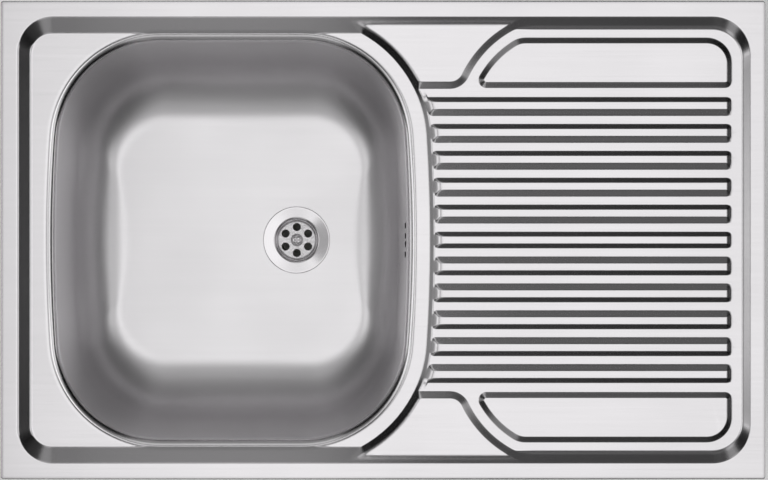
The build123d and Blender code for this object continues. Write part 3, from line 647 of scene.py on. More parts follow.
def steel_finish(name, base, smooth, rough, polished=None):
    """Brushed or satin stainless steel between two roughnesses.

    Where polished gives the heights of a bowl's lip and floor, the steel is smoother close to both.
    """
    finish, tree, shader, spot = start_finish(name)
    calc, fit = partial(math_node, tree), partial(remap, tree)
    grain = use_group(tree, "Brushed grain", spot)
    wear = use_group(tree, "Edge wear", spot)["Wear"]
    low, high = 0.35, 0.65
    line_shade, line_depth, scratch_depth = 0.985, 0.000005, 0.2
    cloudy, worn_smoother, scratched_rougher = 0.012, 0.03, 0.03
    shader["Metallic"].default_value = 1.0
    tree.links.new(tint(tree, base, fit(grain["Grain"], low, high, 0, 1), line_shade), shader["Base Color"])
    level = fit(grain["Grain"], low, high, smooth, rough)
    level = calc("ADD", level, fit(grain["Clouds"], low, high, -cloudy, cloudy))
    level = calc("SUBTRACT", level, calc("MULTIPLY", wear, worn_smoother))
    level = calc("ADD", level, calc("MULTIPLY", grain["Scratches"], scratched_rougher))
    if polished is not None:
        lip, floor = polished
        z = split(tree, spot)["Z"]
        middle, lip_rough, floor_rough = (smooth + rough) / 2, 0.2, 0.34
        shine = fit(z, lip - 0.012, lip - 0.003, 0, middle - lip_rough)
        worn = fit(z, floor + 0.0005, floor + 0.008, middle - floor_rough, 0)
        level = calc("SUBTRACT", level, calc("ADD", shine, worn))
    tree.links.new(level, shader["Roughness"])
    height = calc("SUBTRACT", grain["Grain"], calc("MULTIPLY", grain["Scratches"], scratch_depth))
    bumped(tree, shader, height, line_depth)
    return finish


def strainer_finish(base, waste):
    """Turned and polished flange round a stippled plate."""
    finish, tree, shader, spot = start_finish("turned_strainer")
    calc, fit = partial(math_node, tree), partial(remap, tree)
    moved = mapped(tree, spot, (1, 1, 0), location=(-waste.centre, 0, 0))
    away = add_node(tree, "ShaderNodeVectorMath", {0: moved}, operation="LENGTH").outputs["Value"]
    on_plate = fit(away, waste.plate - 0.0002, waste.plate + 0.0006, 1, 0)
    groove_pitch, groove_depth = 0.0006, 0.01
    turned = calc("SINE", calc("MULTIPLY", away, 2 * math.pi / groove_pitch))
    dots = add_node(tree, "ShaderNodeTexVoronoi", {"Scale": 900.0, "Vector": spot})
    stipple = calc("MULTIPLY", fit(dots.outputs["Distance"], 0.1, 0.5, 1, 0), on_plate)
    grain = use_group(tree, "Speckle and dust", spot)["Grain"]
    shader["Metallic"].default_value = 1.0
    tree.links.new(tint(tree, base, stipple, 0.86), shader["Base Color"])
    rough = calc("ADD", calc("MULTIPLY", on_plate, 0.2), fit(grain, 0.3, 0.7, 0.07, 0.13))
    tree.links.new(rough, shader["Roughness"])
    grooves = calc("MULTIPLY", calc("SUBTRACT", 1.0, on_plate), calc("MULTIPLY", turned, groove_depth))
    bumped(tree, shader, calc("ADD", stipple, grooves), 0.0001)
    return finish


def moulded_finish(name, base, rough, metal=0.0, depth=0.00003):
    """Moulded plastic, rubber or plated metal with fine grain, edge wear and faint dust."""
    finish, tree, shader, spot = start_finish(name)
    calc = partial(math_node, tree)
    grain = use_group(tree, "Speckle and dust", spot)
    wear = use_group(tree, "Edge wear", spot)["Wear"]
    dust_shade = 0.88 if max(base) > 0.2 else 1.5
    shader["Metallic"].default_value = metal
    tree.links.new(tint(tree, base, grain["Dust"], dust_shade), shader["Base Color"])
    level = remap(tree, grain["Grain"], 0.3, 0.7, rough - 0.05, rough + 0.05)
    level = calc("SUBTRACT", level, calc("MULTIPLY", wear, 0.08))
    tree.links.new(calc("ADD", level, calc("MULTIPLY", grain["Dust"], 0.08)), shader["Roughness"])
    bumped(tree, shader, grain["Grain"], depth)
    return finish


def bitumen_finish(base):
    """Heavy sound-deadening sheet with a rolled diamond pattern."""
    finish, tree, shader, spot = start_finish("bitumen_sheet")
    calc = partial(math_node, tree)
    grain = use_group(tree, "Speckle and dust", spot)
    diamond_pitch = 0.006
    parts = split(tree, mapped(tree, spot, (1, 1, 0), (0, 0, quarter / 2)))
    waves = [calc("SINE", calc("MULTIPLY", parts[i], 2 * math.pi / diamond_pitch)) for i in (0, 1)]
    diamonds = remap(tree, calc("MULTIPLY", *waves), -0.4, 0.4, 0, 1)
    tree.links.new(tint(tree, base, grain["Dust"], 1.7), shader["Base Color"])
    tree.links.new(remap(tree, diamonds, 0, 1, 0.75, 0.55), shader["Roughness"])
    bumped(tree, shader, calc("ADD", diamonds, calc("MULTIPLY", grain["Grain"], 0.2)), 0.0003)
    return finish


def floor_finish(base):
    """Plain pale floor that keeps the sink's shadow."""
    finish, tree, shader, spot = start_finish("pale_floor")
    dust = use_group(tree, "Speckle and dust", spot)["Dust"]
    tree.links.new(tint(tree, base, dust, 0.985), shader["Base Color"])
    shader["Roughness"].default_value = 0.8
    return finish


made_finishes = {}


def finishes():
    """The finishes by slot, made once."""
    if made_finishes:
        return made_finishes
    scene = bpy.context.scene
    look, deck = scene.sink_finish, scene.sink_deck
    base = {name: tuple(getattr(look, name)) for name in SinkFinish.__annotations__}
    lip_and_floor = (deck.height - deck.surround_drop - deck.sheet, deck.height - scene.sink_bowl.depth)
    plated = {"metal": 1.0, "depth": 0.00001}
    made_finishes.update({
        "deck_steel": steel_finish("brushed_deck", base["steel"], 0.185, 0.215),
        "bowl_steel": steel_finish("satin_bowl", base["satin_steel"], 0.40, 0.425, lip_and_floor),
        "fastener_steel": steel_finish("bright_fasteners", base["bright_steel"], 0.12, 0.2),
        "strainer_steel": strainer_finish(base["bright_steel"], scene.sink_waste),
        "white_plastic": moulded_finish("moulded_white", base["white_plastic"], 0.42),
        "grey_plastic": moulded_finish("moulded_grey", base["grey_plastic"], 0.4),
        "seal_rubber": moulded_finish("black_rubber", base["rubber"], 0.7),
        "bracket_zinc": moulded_finish("clear_zinc", base["zinc"], 0.34, **plated),
        "fastener_zinc": moulded_finish("yellow_zinc", base["yellow_zinc"], 0.3, **plated),
        "insert_brass": moulded_finish("turned_brass", base["brass"], 0.28, **plated),
        "pad_bitumen": bitumen_finish(base["bitumen"]),
    })
    return made_finishes


# ---------------------------------------------------------------- deck
class DeckPress:
    """Outlines and heights of the pressed deck, in millimetres."""

    # each wall of the well: inset of its top line, width and half its bend; corner radii at the rim, and their loss
    well_walls = {"left": (18.2, 11.6, 1.7), "right": (15.5, 10.2, 0.8), "side": (16.5, 16.2, 0.8)}
    well_corners = ((36, 13), (40, 11))
    well_shares, halvings = (-4.0, 2.6), 34
    side_band = 45
    # the tap ledges and the corner panels end in arcs round one point
    sweep_centre = (189.0, 122.5)
    ledge_sweep, ledge_near, ledge_corner, ledge_run = 118.0, 166.0, 14.0, 7.4
    panel_sweep, panel_near, panel_far, panel_run = 95.0, 165.4, 206.3, 5.8
    panel_radii = {"tip": 2.6, "inner": 1.5, "outer": 21.0, "shoulder": 20.0}
    # the slope from the strip round the bowl up to the drainboard, steeper beside the ledges
    land_start = -63.4
    step_lean, ledge_step_lean = 26.0, 37.0
    ledge_side, ledge_side_run = 148, 20
    edge_fall_run = 4.5
    rib_start, rib_start_run = 25.6, 5.2

    def __init__(self, deck, bowl):
        self.deck, self.bowl = deck, bowl
        self.rim = mm(deck.height)
        self.strip = self.rim - mm(deck.surround_drop)
        self.bend = mm(deck.bend)
        self.mouth = mouth_outline(bowl, 0)

    def well(self, share):
        """The well's box and corner radii at a share of its wall's width, 0 at the rim and 1 at the foot."""
        half_long, half_wide = mm(self.deck.long) / 2, mm(self.deck.wide) / 2
        left, right, side = (inset + run * share for inset, run, _ in self.well_walls.values())
        radii = (radius - loss * share for radius, loss in self.well_corners)
        return -half_long + left, half_long - right, half_wide - side, *radii

    def well_share(self, points):
        """Share of the well's wall at each point, found by halving."""
        low, high = (np.full(len(points), end) for end in self.well_shares)
        x, y = points[:, 0], np.abs(points[:, 1])
        for _ in range(self.halvings):
            middle = (low + high) / 2
            left, right, half_y, radius_left, radius_right = self.well(middle)
            radius = np.where(x < 0, radius_left, radius_right)
            over_x = np.where(x < 0, left - x, x - right) + radius
            over_y = y - half_y + radius
            away = np.minimum(np.maximum(over_x, over_y), 0) + np.hypot(np.maximum(over_x, 0), np.maximum(over_y, 0))
            outside = away - radius > 0
            low, high = np.where(outside, low, middle), np.where(outside, middle, high)
        return (low + high) / 2

    def on_sweep(self, sweep, y):
        """Where an arc round the sweeps' centre crosses a line along X, towards the bowl."""
        return self.sweep_centre[0] - math.sqrt(sweep**2 - (y - self.sweep_centre[1]) ** 2)

    def sweep_lean(self, x, y):
        """Direction of a point from the sweeps' centre."""
        return math.atan2(y - self.sweep_centre[1], x - self.sweep_centre[0])

    def ledge(self, side):
        """One tap ledge, as far as the walls that trim it."""
        sweep, near, radius = self.ledge_sweep, self.ledge_near, self.ledge_corner
        cx, cy = self.sweep_centre
        turn_y = near + radius
        turn_x = self.on_sweep(sweep + radius, turn_y)
        corner = arc((turn_x, turn_y), radius, -quarter, math.atan2(cy - turn_y, cx - turn_x), 12)
        sweep_arc = arc(self.sweep_centre, sweep, self.sweep_lean(*corner[-1]), quarter, 40)[1:]
        back, top = (self.land_start - 10.0, near), (self.land_start - 10.0, cy + sweep)
        points = np.concatenate([[back], between(back, corner[0], 24), corner, sweep_arc, [top]])
        return points if side > 0 else points[::-1] * (1, -1)

    def panel(self, side):
        """One raised corner panel, with a swept end towards the bowl."""
        sweep, near, far = self.panel_sweep, self.panel_near, self.panel_far
        end = mm(self.deck.rib_end)
        tip, inner, outer, shoulder = self.panel_radii.values()
        tip_y, shoulder_y = near + tip, far - shoulder
        tip_x, shoulder_x = self.on_sweep(sweep - tip, tip_y), self.on_sweep(sweep - shoulder, shoulder_y)
        tip_lean, shoulder_lean = self.sweep_lean(tip_x, tip_y), self.sweep_lean(shoulder_x, shoulder_y)
        points = np.concatenate([
            arc((tip_x, tip_y), tip, tip_lean, 3 * quarter, 10),
            between((tip_x, near), (end - inner, near), 16),
            arc((end - inner, near + inner), inner, -quarter, 0, 5),
            arc((end - outer, far - outer), outer, 0, quarter, 14),
            between((end - outer, far), (shoulder_x, far), 10),
            arc((shoulder_x, shoulder_y), shoulder, quarter, shoulder_lean, 12),
            arc(self.sweep_centre, sweep, shoulder_lean, tip_lean, 14)[1:-1],
        ])
        return points if side > 0 else points[::-1] * (1, -1)

    def limit(self, points, away):
        """How high the slope round the bowl's strip lets the drainboard rise."""
        toward_ledge = np.clip((np.abs(points[:, 1]) - self.ledge_side) / self.ledge_side_run, 0, 1)
        lean = self.step_lean + (self.ledge_step_lean - self.step_lean) * toward_ledge
        rise = np.tan(np.radians(lean)) * soft_ramp(away - mm(self.deck.surround_width), self.bend)
        return np.where(points[:, 0] < self.land_start, 0, rise)

    def heights(self, points):
        """Height of the pressed face without its ribs, and the two values that the ribs' tree reads."""
        deck = self.deck
        share = self.well_share(points)
        at_end = np.abs(points[:, 1]) < mm(deck.wide) / 2 - self.side_band
        left, right, side = self.well_walls.values()
        run, bend = (np.where(at_end, np.where(points[:, 0] < 0, left[k], right[k]), side[k]) for k in (1, 2))
        wall = 1 - fall_share(share * run, run, bend)
        land, ledge_rise, panel_rise = mm(deck.land_rise), mm(deck.ledge_rise), mm(deck.panel_rise)
        rise = np.full(len(points), land)
        for hand in (1, -1):
            ledge = 1 - fall_share(distance_to(points, self.ledge(hand)), self.ledge_run, self.bend)
            panel = 1 - fall_share(distance_to(points, self.panel(hand)), self.panel_run, self.bend)
            rise = rise + ledge_rise * ledge + panel_rise * panel
        away = distance_to(points, self.mouth)
        limit = self.limit(points, away)
        power = crease_power - raised_crease_loss * np.clip((rise - land) / ledge_rise, 0, 1)
        rise = np.where(points[:, 0] < self.land_start, 0, lower(rise, limit, power))
        height = np.minimum(self.strip + higher(mm(deck.surround_drop) * wall, rise), self.rim)
        edge_fall = mm(deck.sheet) * (1 - np.clip(away / self.edge_fall_run, 0, 1)) ** 3
        return height - edge_fall, limit, (self.rib_start - away) / self.rib_start_run


class FoldLines:
    """Bend lines for a mesh seen from above, as points and the edges between them."""

    def __init__(self):
        self.points, self.edges = [], []

    def add(self, line, closed=True, keep=None):
        """Adds a line, leaving out the points that keep says no to."""
        kept = np.ones(len(line), bool) if keep is None else keep
        place_of = np.cumsum(kept) - 1 + len(self.points)
        self.points += [tuple(p) for p in line[kept]]
        for i in range(len(line) if closed else len(line) - 1):
            j = (i + 1) % len(line)
            if kept[i] and kept[j]:
                self.edges.append((int(place_of[i]), int(place_of[j])))

    def add_straight(self, x, y):
        """Adds a straight line, one of whose values is the same all along."""
        self.add(np.stack(np.broadcast_arrays(x, y), axis=1), closed=False)

    def fill(self, keep):
        """Points, and the upward triangles between them whose middles keep says yes to."""
        flat, _, triangles, _, _, _ = delaunay_2d_cdt(self.points, self.edges, [], 0, 1e-5)
        flat, triangles = np.array([tuple(p) for p in flat]), np.array(triangles)
        kept = triangles[keep(flat[triangles].mean(axis=1))]
        a, b, c = (flat[kept[:, i]] for i in range(3))
        area = (b[:, 0] - a[:, 0]) * (c[:, 1] - a[:, 1]) - (c[:, 0] - a[:, 0]) * (b[:, 1] - a[:, 1])
        kept[area < 0] = kept[area < 0][:, ::-1]
        return flat, kept


# lines across the well's wall, in shares of its width, and across the slope past the bowl's strip, in millimetres
well_lines = (-0.2, -0.14, -0.1, -0.06, -0.03, 0, 0.03, 0.06, 0.1, 0.14, 0.22, 0.36, 0.5, 0.64, 0.78, 0.86, 0.9, 0.94,
              0.97, 1, 1.03, 1.06, 1.1, 1.14, 1.2)
edge_fall_lines = (0, 0.12, 0.25, 0.4, 0.6, 0.8, 1)
strip_lines = (6, 9, 12.5)
slope_lines = (1.6, 2.6, 3.6, 4.5, 4.9, 5.3, 5.7, 6.1, 6.6, 7.4, 8.4, 9.4, 10.1, 10.6, 11.1, 11.6, 12.5, 15, 19, 25)


def bend_steps(bend):
    """Distances of the lines across one bend."""
    return [-1.6 * bend, -bend, -bend / 2, 0, bend / 2, bend]


def wall_steps(bend, run):
    """Distances of the lines across a pressed wall, close together at its two bends."""
    return bend_steps(bend) + [run / 3, run / 2, 2 * run / 3] + [run + step for step in bend_steps(bend)[1:]]


def deck_lines(press, deck, outer):
    """All the bend lines of the deck, close together across each bend."""
    lines = FoldLines()
    lines.add(outer)
    half_long, half_wide = mm(deck.long) / 2, mm(deck.wide) / 2
    inset, radius = 3.5, 1.5
    mouth_gap, slope_start, ledge_back, panel_front = 0.3, 6, 4, 100
    on_foot, past_foot, on_wall = 0.05, 1.16, 0.2
    lines.add(rounded_box(-half_long + inset, half_long - inset, half_wide - inset, radius, radius, 4, 30))
    for share in well_lines:
        line = rounded_box(*press.well(share), 20, 30)
        lines.add(line, keep=distance_to(line, press.mouth) > mouth_gap)
    for share in edge_fall_lines:
        line = mouth_outline(press.bowl, share * press.edge_fall_run)
        lines.add(line, keep=None if share == 0 else press.well_share(line) > on_wall)
    width, bend = mm(deck.surround_width), press.bend
    for grow in strip_lines + tuple(width + step for step in (*bend_steps(bend), *slope_lines)):
        line = mouth_outline(press.bowl, grow)
        share = press.well_share(line)
        on_slope = (line[:, 0] > press.land_start - slope_start) & (share > -0.1)
        lines.add(line, keep=on_slope if grow > width - 2 else share > past_foot)
    back = press.sweep_centre[1] + press.ledge_sweep - ledge_back
    for side in (1, -1):
        for outline, run in ((press.ledge(side), press.ledge_run), (press.panel(side), press.panel_run)):
            normal = outward(outline)
            for shift in wall_steps(bend, run) + [run + 2 * bend]:
                line = outline + normal * shift
                keep = (press.well_share(line) > on_foot) & (distance_to(line, press.mouth) > width - 1)
                keep &= (np.abs(line[:, 1]) < back) | (line[:, 0] > panel_front)
                lines.add(line, keep=keep)
    rib_lines(lines, press, deck)
    return lines


def rib_lines(lines, press, deck):
    """Lines along every rib's walls, across their ends, and between their starts."""
    bend, top, pitch = press.bend, mm(deck.rib_top) / 2, mm(deck.rib_pitch)
    end, end_run = mm(deck.rib_end), mm(deck.rib_end_run)
    start = press.mouth[:, 0].max() + mm(deck.surround_width) - 2
    station = 12.0
    stations = np.concatenate([np.arange(start, end + end_run, station), [end + end_run + 1.5]])
    half = deck.rib_count // 2
    for index in range(-half, half + 1):
        for hand in (1, -1):
            outer_run = deck.rib_outer_run if hand * index > 0 else deck.rib_inner_run
            run = mm(outer_run if index else deck.rib_middle_run)
            for shift in wall_steps(bend, run) + [run + 1.6 * bend]:
                lines.add_straight(stations, index * pitch + hand * (top + shift))
    reach = half * pitch + top + mm(deck.rib_outer_run) + 2
    rows = 24
    for shift in wall_steps(bend, end_run):
        lines.add_straight(end + shift, np.linspace(-reach, reach, rows))
    for index in range(-half, half):
        for share in np.linspace(0.04, 0.96, rows):
            y = index * pitch + top + share * (pitch - 2 * top)
            lines.add_straight(np.array([start, start + station]), y)


class SINK_OT_deck(bpy.types.Operator):
    """Presses the deck with its rim, strip, ledges, panels and ribs, and folds its edge"""

    bl_idname = "sink.deck"
    bl_label = "Pressed deck"

    def execute(self, context):
        deck, bowl = context.scene.sink_deck, context.scene.sink_bowl
        steel = finishes()["deck_steel"]
        press = DeckPress(deck, bowl)
        half_long, half_wide = mm(deck.long) / 2, mm(deck.wide) / 2
        fold, corner, hem = mm(deck.edge_bend), mm(deck.corner), mm(deck.hem_bend)

        def edge_loop(inset, height, radius=None):
            radius = max(corner - inset, 0.3) if radius is None else radius
            flat = rounded_box(-half_long + inset, half_long - inset, half_wide - inset, radius, radius, 6, 40)
            return at_height(flat, height)

        top_loop = edge_loop(fold, press.rim)
        lines = deck_lines(press, deck, top_loop[:, :2])
        flat, triangles = lines.fill(lambda middles: distance_to(middles, press.mouth) > 0)
        height, limit, before = press.heights(flat)
        on_edge = distance_to(flat, top_loop[:, :2]) > -1e-3
        pressed = at_height(flat, np.where(on_edge, press.rim, height))

        turn = np.radians([15, 30, 45, 60, 75, 90])
        loops = [top_loop]
        loops += [edge_loop(fold - fold * math.sin(t), press.rim - fold + fold * math.cos(t)) for t in turn]
        loops += [edge_loop(0, h) for h in (press.rim - 3, press.rim / 2, hem + 2, hem)]
        loops += [edge_loop(hem - hem * math.cos(t), hem - hem * math.sin(t)) for t in turn[1::2]]
        loops += [edge_loop(hem + 1, 0, 1.5), edge_loop(mm(deck.hem) + 0.8, 0, 0.6)]
        faces = triangles.tolist() + [f[::-1] for f in bridge(loops, len(pressed))]
        points = np.concatenate([pressed] + loops)
        piece = place("pressed_deck", points, faces, steel)
        for label, values in (("height_limit", limit / 1000), ("before_ribs", before)):
            stored = piece.data.attributes.new(label, "FLOAT", "POINT")
            stored.data.foreach_set("value", np.concatenate([values, np.zeros(len(points) - len(values))]))
        weld(piece, 0.002)
        run_tree(piece, press_ribs_tree(), {
            "Rib count": deck.rib_count, "Pitch": deck.rib_pitch, "Top width": deck.rib_top,
            "Outer run": deck.rib_outer_run, "Inner run": deck.rib_inner_run, "Middle run": deck.rib_middle_run,
            "Height": deck.rib_height, "End": deck.rib_end, "End run": deck.rib_end_run,
            "Strip level": press.strip / 1000, "Land rise": deck.land_rise,
            "Bend share": press.bend / mm(deck.rib_outer_run), "Steel": steel})
        thicken(piece, mm(deck.sheet))
        settle(piece)
        show(piece, "drainboard_deck")
        return {"FINISHED"}


# ---------------------------------------------------------------- bowl
def slot_punch(width, height):
    """Upright slot-shaped punch along X, which drops as it goes outwards."""
    reach, drop, steps = 4.0, 3.4, 16
    half, radius = height / 2 - width / 2, width / 2
    outline = np.concatenate([arc((0, half), radius, 0, math.pi, steps),
                              arc((0, -half), radius, math.pi, 2 * math.pi, steps)])
    return prism("slot_punch", *([(hand * reach, y, z - hand * drop) for y, z in outline] for hand in (-1, 1)))


class SINK_OT_bowl(bpy.types.Operator):
    """Draws the bowl with its rolled lip, floor bend, waste seat and overflow slots"""

    bl_idname = "sink.bowl"
    bl_label = "Drawn bowl"

    # how finely the lip, the wall, the floor's bend and the waste's rings are drawn
    lip_levels, wall_levels, bend_levels, ring_steps = 11, 13, 23, 96
    flange_line = 2.5
    floor_lines = (-4, -12)

    def execute(self, context):
        deck, bowl, waste = context.scene.sink_deck, context.scene.sink_bowl, context.scene.sink_waste
        steel = finishes()["bowl_steel"]
        sheet, rim = mm(deck.sheet), mm(deck.height)
        top = rim - mm(deck.surround_drop) - sheet
        floor = rim - mm(bowl.depth)
        lip_run = mm(bowl.lip) * math.tan((quarter - bowl.side_draft) / 2)
        lip = mm(bowl.lip_radius)

        def wall(height):
            fall = (top - height) / (top - floor)
            radius = mm(bowl.corner) - lip_run
            radius += fall * (mm(bowl.floor_corner) - radius)
            half_x, half_y = (mm(size) / 2 - lip_run - (top - height) * math.tan(draft)
                              for size, draft in ((bowl.long, bowl.end_draft), (bowl.wide, bowl.side_draft)))
            return bowed_outline(mm(bowl.centre), half_x, half_y, radius, mm(bowl.bow))

        high, low = wall(top), wall(floor)
        inward = low - high
        fall_run = np.linalg.norm(inward, axis=1)
        inward /= fall_run[:, None]
        bend = mm(bowl.floor_bend) + (mm(bowl.side_bend) - mm(bowl.floor_bend)) * inward[:, 1] ** 2
        lean = np.arctan2(fall_run, top - floor)
        lip_tangent, floor_tangent = (radius * np.tan((quarter - lean) / 2) for radius in (lip, bend))

        loops = [at_height(mouth_outline(bowl, grow), top) for grow in (mm(bowl.flange), self.flange_line)]
        for share in np.linspace(0, 1, self.lip_levels):
            turn = quarter + share * (lean - quarter)
            flat = high + inward * (lip * np.cos(turn) - lip_tangent)[:, None]
            loops.append(at_height(flat, top - lip + lip * np.sin(turn)))
        start = loops[-1][:, 2]
        foot = floor + bend - bend * np.sin(lean)
        for share in np.linspace(0, 1, self.wall_levels)[1:-1]:
            height = start + share * (foot - start)
            loops.append(at_height(high + inward * ((top - height) * np.tan(lean))[:, None], height))
        for share in np.linspace(0, 1, self.bend_levels):
            turn = lean + share * (quarter - lean)
            flat = low + inward * (floor_tangent - bend * np.cos(turn))[:, None]
            loops.append(at_height(flat, floor + bend - bend * np.sin(turn)))

        centre = (mm(waste.centre), 0)
        outlet, seat, run, drop = mm(waste.outlet), mm(waste.seat_radius), mm(waste.seat_run), mm(waste.seat_depth)
        edge = loops[-1][:, :2]
        lines = FoldLines()
        for shift in (0, *self.floor_lines):
            lines.add(edge + outward(edge) * shift)
        slope = (0, run / 2, run, run + 0.06, run + 0.3, run + 1.5, run + 6)
        for radius in (outlet, outlet + 0.6, seat - 0.8, seat - 0.1, *(seat + step for step in slope)):
            lines.add(arc(centre, radius, 0, 2 * math.pi, self.ring_steps)[:-1])

        def from_waste(points):
            return np.hypot(points[:, 0] - centre[0], points[:, 1])

        flat, triangles = lines.fill(
            lambda middles: (from_waste(middles) > outlet) & (distance_to(middles, edge) < 0))
        depth = drop * (1 - fall_share(from_waste(flat) - seat, run, 0.05))
        points = np.concatenate(loops + [at_height(flat, floor - depth)])
        faces = bridge(loops) + (triangles + len(loops) * len(edge)).tolist()
        piece = place("drawn_bowl", points, faces, steel)
        weld(piece, 0.01)
        thicken(piece, sheet)
        settle(piece)

        level = rim - mm(bowl.slot_drop)
        wall_x = mm(bowl.centre) + mm(bowl.long) / 2 - lip_run - (top - level) * math.tan(bowl.end_draft)
        inner, outer = mm(bowl.slot_inner), mm(bowl.slot_outer)
        spots = place("slot_places", [(wall_x, y, level) for y in (-outer, -inner, inner, outer)], [])
        punch = slot_punch(mm(bowl.slot_width), mm(bowl.slot_height))
        run_tree(piece, punch_tree(), {"Places": spots, "Punch": punch, "Steel": steel})
        settle(piece)
        bpy.data.objects.remove(spots)
        bpy.data.objects.remove(punch)
        show(piece, "bowl")
        return {"FINISHED"}


# ---------------------------------------------------------------- waste
class SINK_OT_strainer(bpy.types.Operator):
    """Turns the strainer and drills its ring of holes"""

    bl_idname = "sink.strainer"
    bl_label = "Strainer"

    def execute(self, context):
        waste, bowl, deck = context.scene.sink_waste, context.scene.sink_bowl, context.scene.sink_deck
        steel = finishes()["strainer_steel"]
        top = mm(deck.height) - mm(bowl.depth)
        plate = top - mm(waste.cup)
        dimple = plate - mm(waste.dimple_depth)
        sheet, outer, throat = mm(waste.sheet), mm(waste.flange), mm(waste.throat)
        plate_r, dimple_r, shank = mm(waste.plate), mm(waste.dimple), mm(waste.screw) + 0.25
        upper = [
            (shank, dimple), (dimple_r - 1.5, dimple), (dimple_r - 1.0, dimple + 0.15), (dimple_r - 0.3, plate - 0.25),
            (dimple_r + 0.4, plate), (dimple_r + 1.2, plate), (plate_r - 1.6, plate), (plate_r - 0.7, plate + 0.12),
            (plate_r + 0.1, plate + 0.5), (plate_r + 0.6, plate + 1.3), (throat - 1.9, plate + 2.2),
            (throat - 1.3, plate + 2.5), (throat - 0.9, top - 2.7), (throat - 0.5, top - 1.7),
            (throat + 0.1, top - 1.2), (throat + 0.9, top - 1.02), (throat + 1.8, top - 0.92),
            (outer - 1.4, top + 0.22), (outer - 0.7, top + 0.3), (outer - 0.25, top + 0.27),
            (outer - 0.05, top + 0.15), (outer, top - 0.05)]
        under = [
            (outer, top - sheet), (throat + 1.8, top - sheet - 0.7), (throat + 0.4, top - sheet - 1.2),
            (throat - 0.2, plate + 2.0), (plate_r + 1.4, plate - sheet + 1.6), (plate_r + 0.4, plate - sheet),
            (dimple_r + 0.8, plate - sheet), (dimple_r - 0.2, dimple - sheet), (shank, dimple - sheet)]
        piece = lathe("strainer_cup", upper + under, (mm(waste.centre), 0), steel, 128)
        run_tree(piece, ring_of_holes_tree(), {
            "Holes": waste.hole_count, "Hole radius": waste.hole, "Circle radius": waste.hole_circle,
            "Centre": (waste.centre, 0, (plate - sheet / 2) / 1000), "Depth": 0.006, "Steel": steel})
        settle(piece, 42)
        show(piece, "strainer")
        return {"FINISHED"}


def cross_punch(centre, low, high, reach, width):
    """Cross-shaped punch that narrows downwards."""
    loops = []
    for level, arm, half in ((low, reach * 0.55, width * 0.06), (high, reach * 1.1, width * 0.65)):
        cross = [(arm, -half), (arm, half), (half, half), (half, arm), (-half, arm), (-half, half),
                 (-arm, half), (-arm, -half), (-half, -half), (-half, -arm), (half, -arm), (half, -half)]
        loops.append([(centre[0] + x, centre[1] + y, level) for x, y in cross])
    return prism("cross_punch", *loops)


class SINK_OT_strainer_screw(bpy.types.Operator):
    """Turns the strainer's domed screw and sinks its cross recess"""

    bl_idname = "sink.strainer_screw"
    bl_label = "Strainer screw"

    # the head's dome, as insets from its radius and falls from its top
    dome = ((0, 1.3), (0.12, 0.95), (0.45, 0.65), (0.95, 0.45), (1.7, 0.28), (2.75, 0.1), (3.9, 0.025))
    pitch, thread_depth, crest = 1.0, 0.3, 0.03
    cross_depth, cross_share, cross_width = 2.2, 0.68, 1.5

    def execute(self, context):
        waste, bowl, deck = context.scene.sink_waste, context.scene.sink_bowl, context.scene.sink_deck
        seat = mm(deck.height) - mm(bowl.depth) - mm(waste.cup) - mm(waste.dimple_depth)
        head, shank, top = mm(waste.screw_head), mm(waste.screw), seat + mm(waste.screw_rise)
        foot, root, crest = seat - mm(waste.screw_long), shank - self.thread_depth, shank - self.crest
        profile = [(0, foot), (shank - 0.8, foot), (root, foot + 0.8)]
        for i in range(int((mm(waste.screw_long) - 4) / self.pitch)):
            z = foot + 1.2 + i * self.pitch
            profile += [(root, z), (crest, z + self.pitch / 2)]
        profile += [(root, profile[-1][1] + 0.5), (crest, profile[-1][1] + 0.9), (crest, seat), (head - 0.1, seat),
                    (head, seat + 0.12)]
        profile += [(head - inset, top - fall) for inset, fall in self.dome] + [(0, top)]
        centre = (mm(waste.centre), 0)
        piece = lathe("strainer_screw_head", profile, centre, finishes()["fastener_steel"], 48)
        weld(piece, 0.001, turn_out=True)
        punch = cross_punch(centre, top - self.cross_depth, top + 0.6, head * self.cross_share, self.cross_width)
        cut = piece.modifiers.new("Cross recess", "BOOLEAN")
        cut.operation, cut.solver, cut.object = "DIFFERENCE", "EXACT", punch
        settle(piece, 40)
        bpy.data.objects.remove(punch)
        show(piece, "strainer_screw")
        return {"FINISHED"}


# ---------------------------------------------------------------- kept nodes
class SINK_OT_kept_nodes(bpy.types.Operator):
    """Gives every node that stays its own finish"""

    bl_idname = "sink.kept_nodes"
    bl_label = "Finish of the kept nodes"

    def execute(self, context):
        slots = {part["node"]: part["material_slot"] for part in frame["record"]["subparts"]}
        for name, node in frame["nodes"].items():
            if node.hide_render:
                continue
            if not node.material_slots:
                raise RuntimeError(f"{name} has no material slot")
            for holder in node.material_slots:
                holder.link = "OBJECT"
                holder.material = finishes()[slots[name]]
        return {"FINISHED"}


# ---------------------------------------------------------------- stage
# levels of light by degrees from straight up, to the front or back, and to the left or right
light_across = ((0, 1.0), (9, 1.0), (13, 0.8), (18, 0.3), (25, 0.05), (36, 0.03), (42, 0.13), (47, 0.14), (52, 0.07),
                (57, 0.045), (64, 0.035), (76, 0.04), (86, 0.3), (90, 0.5))
light_along = ((-90, 0.7), (-74, 0.8), (-68, 0.65), (-62, 0.3), (-57, 0.15), (-47, 0.16), (-42, 0.9), (-26, 1.0),
               (-21, 0.4), (-16, 0.35), (-12.5, 0.4), (-10.6, 1.0), (12, 1.0), (18, 0.55), (33, 0.45), (38, 0.9),
               (47, 0.9), (53, 0.2), (58, 0.04), (90, 0.03))


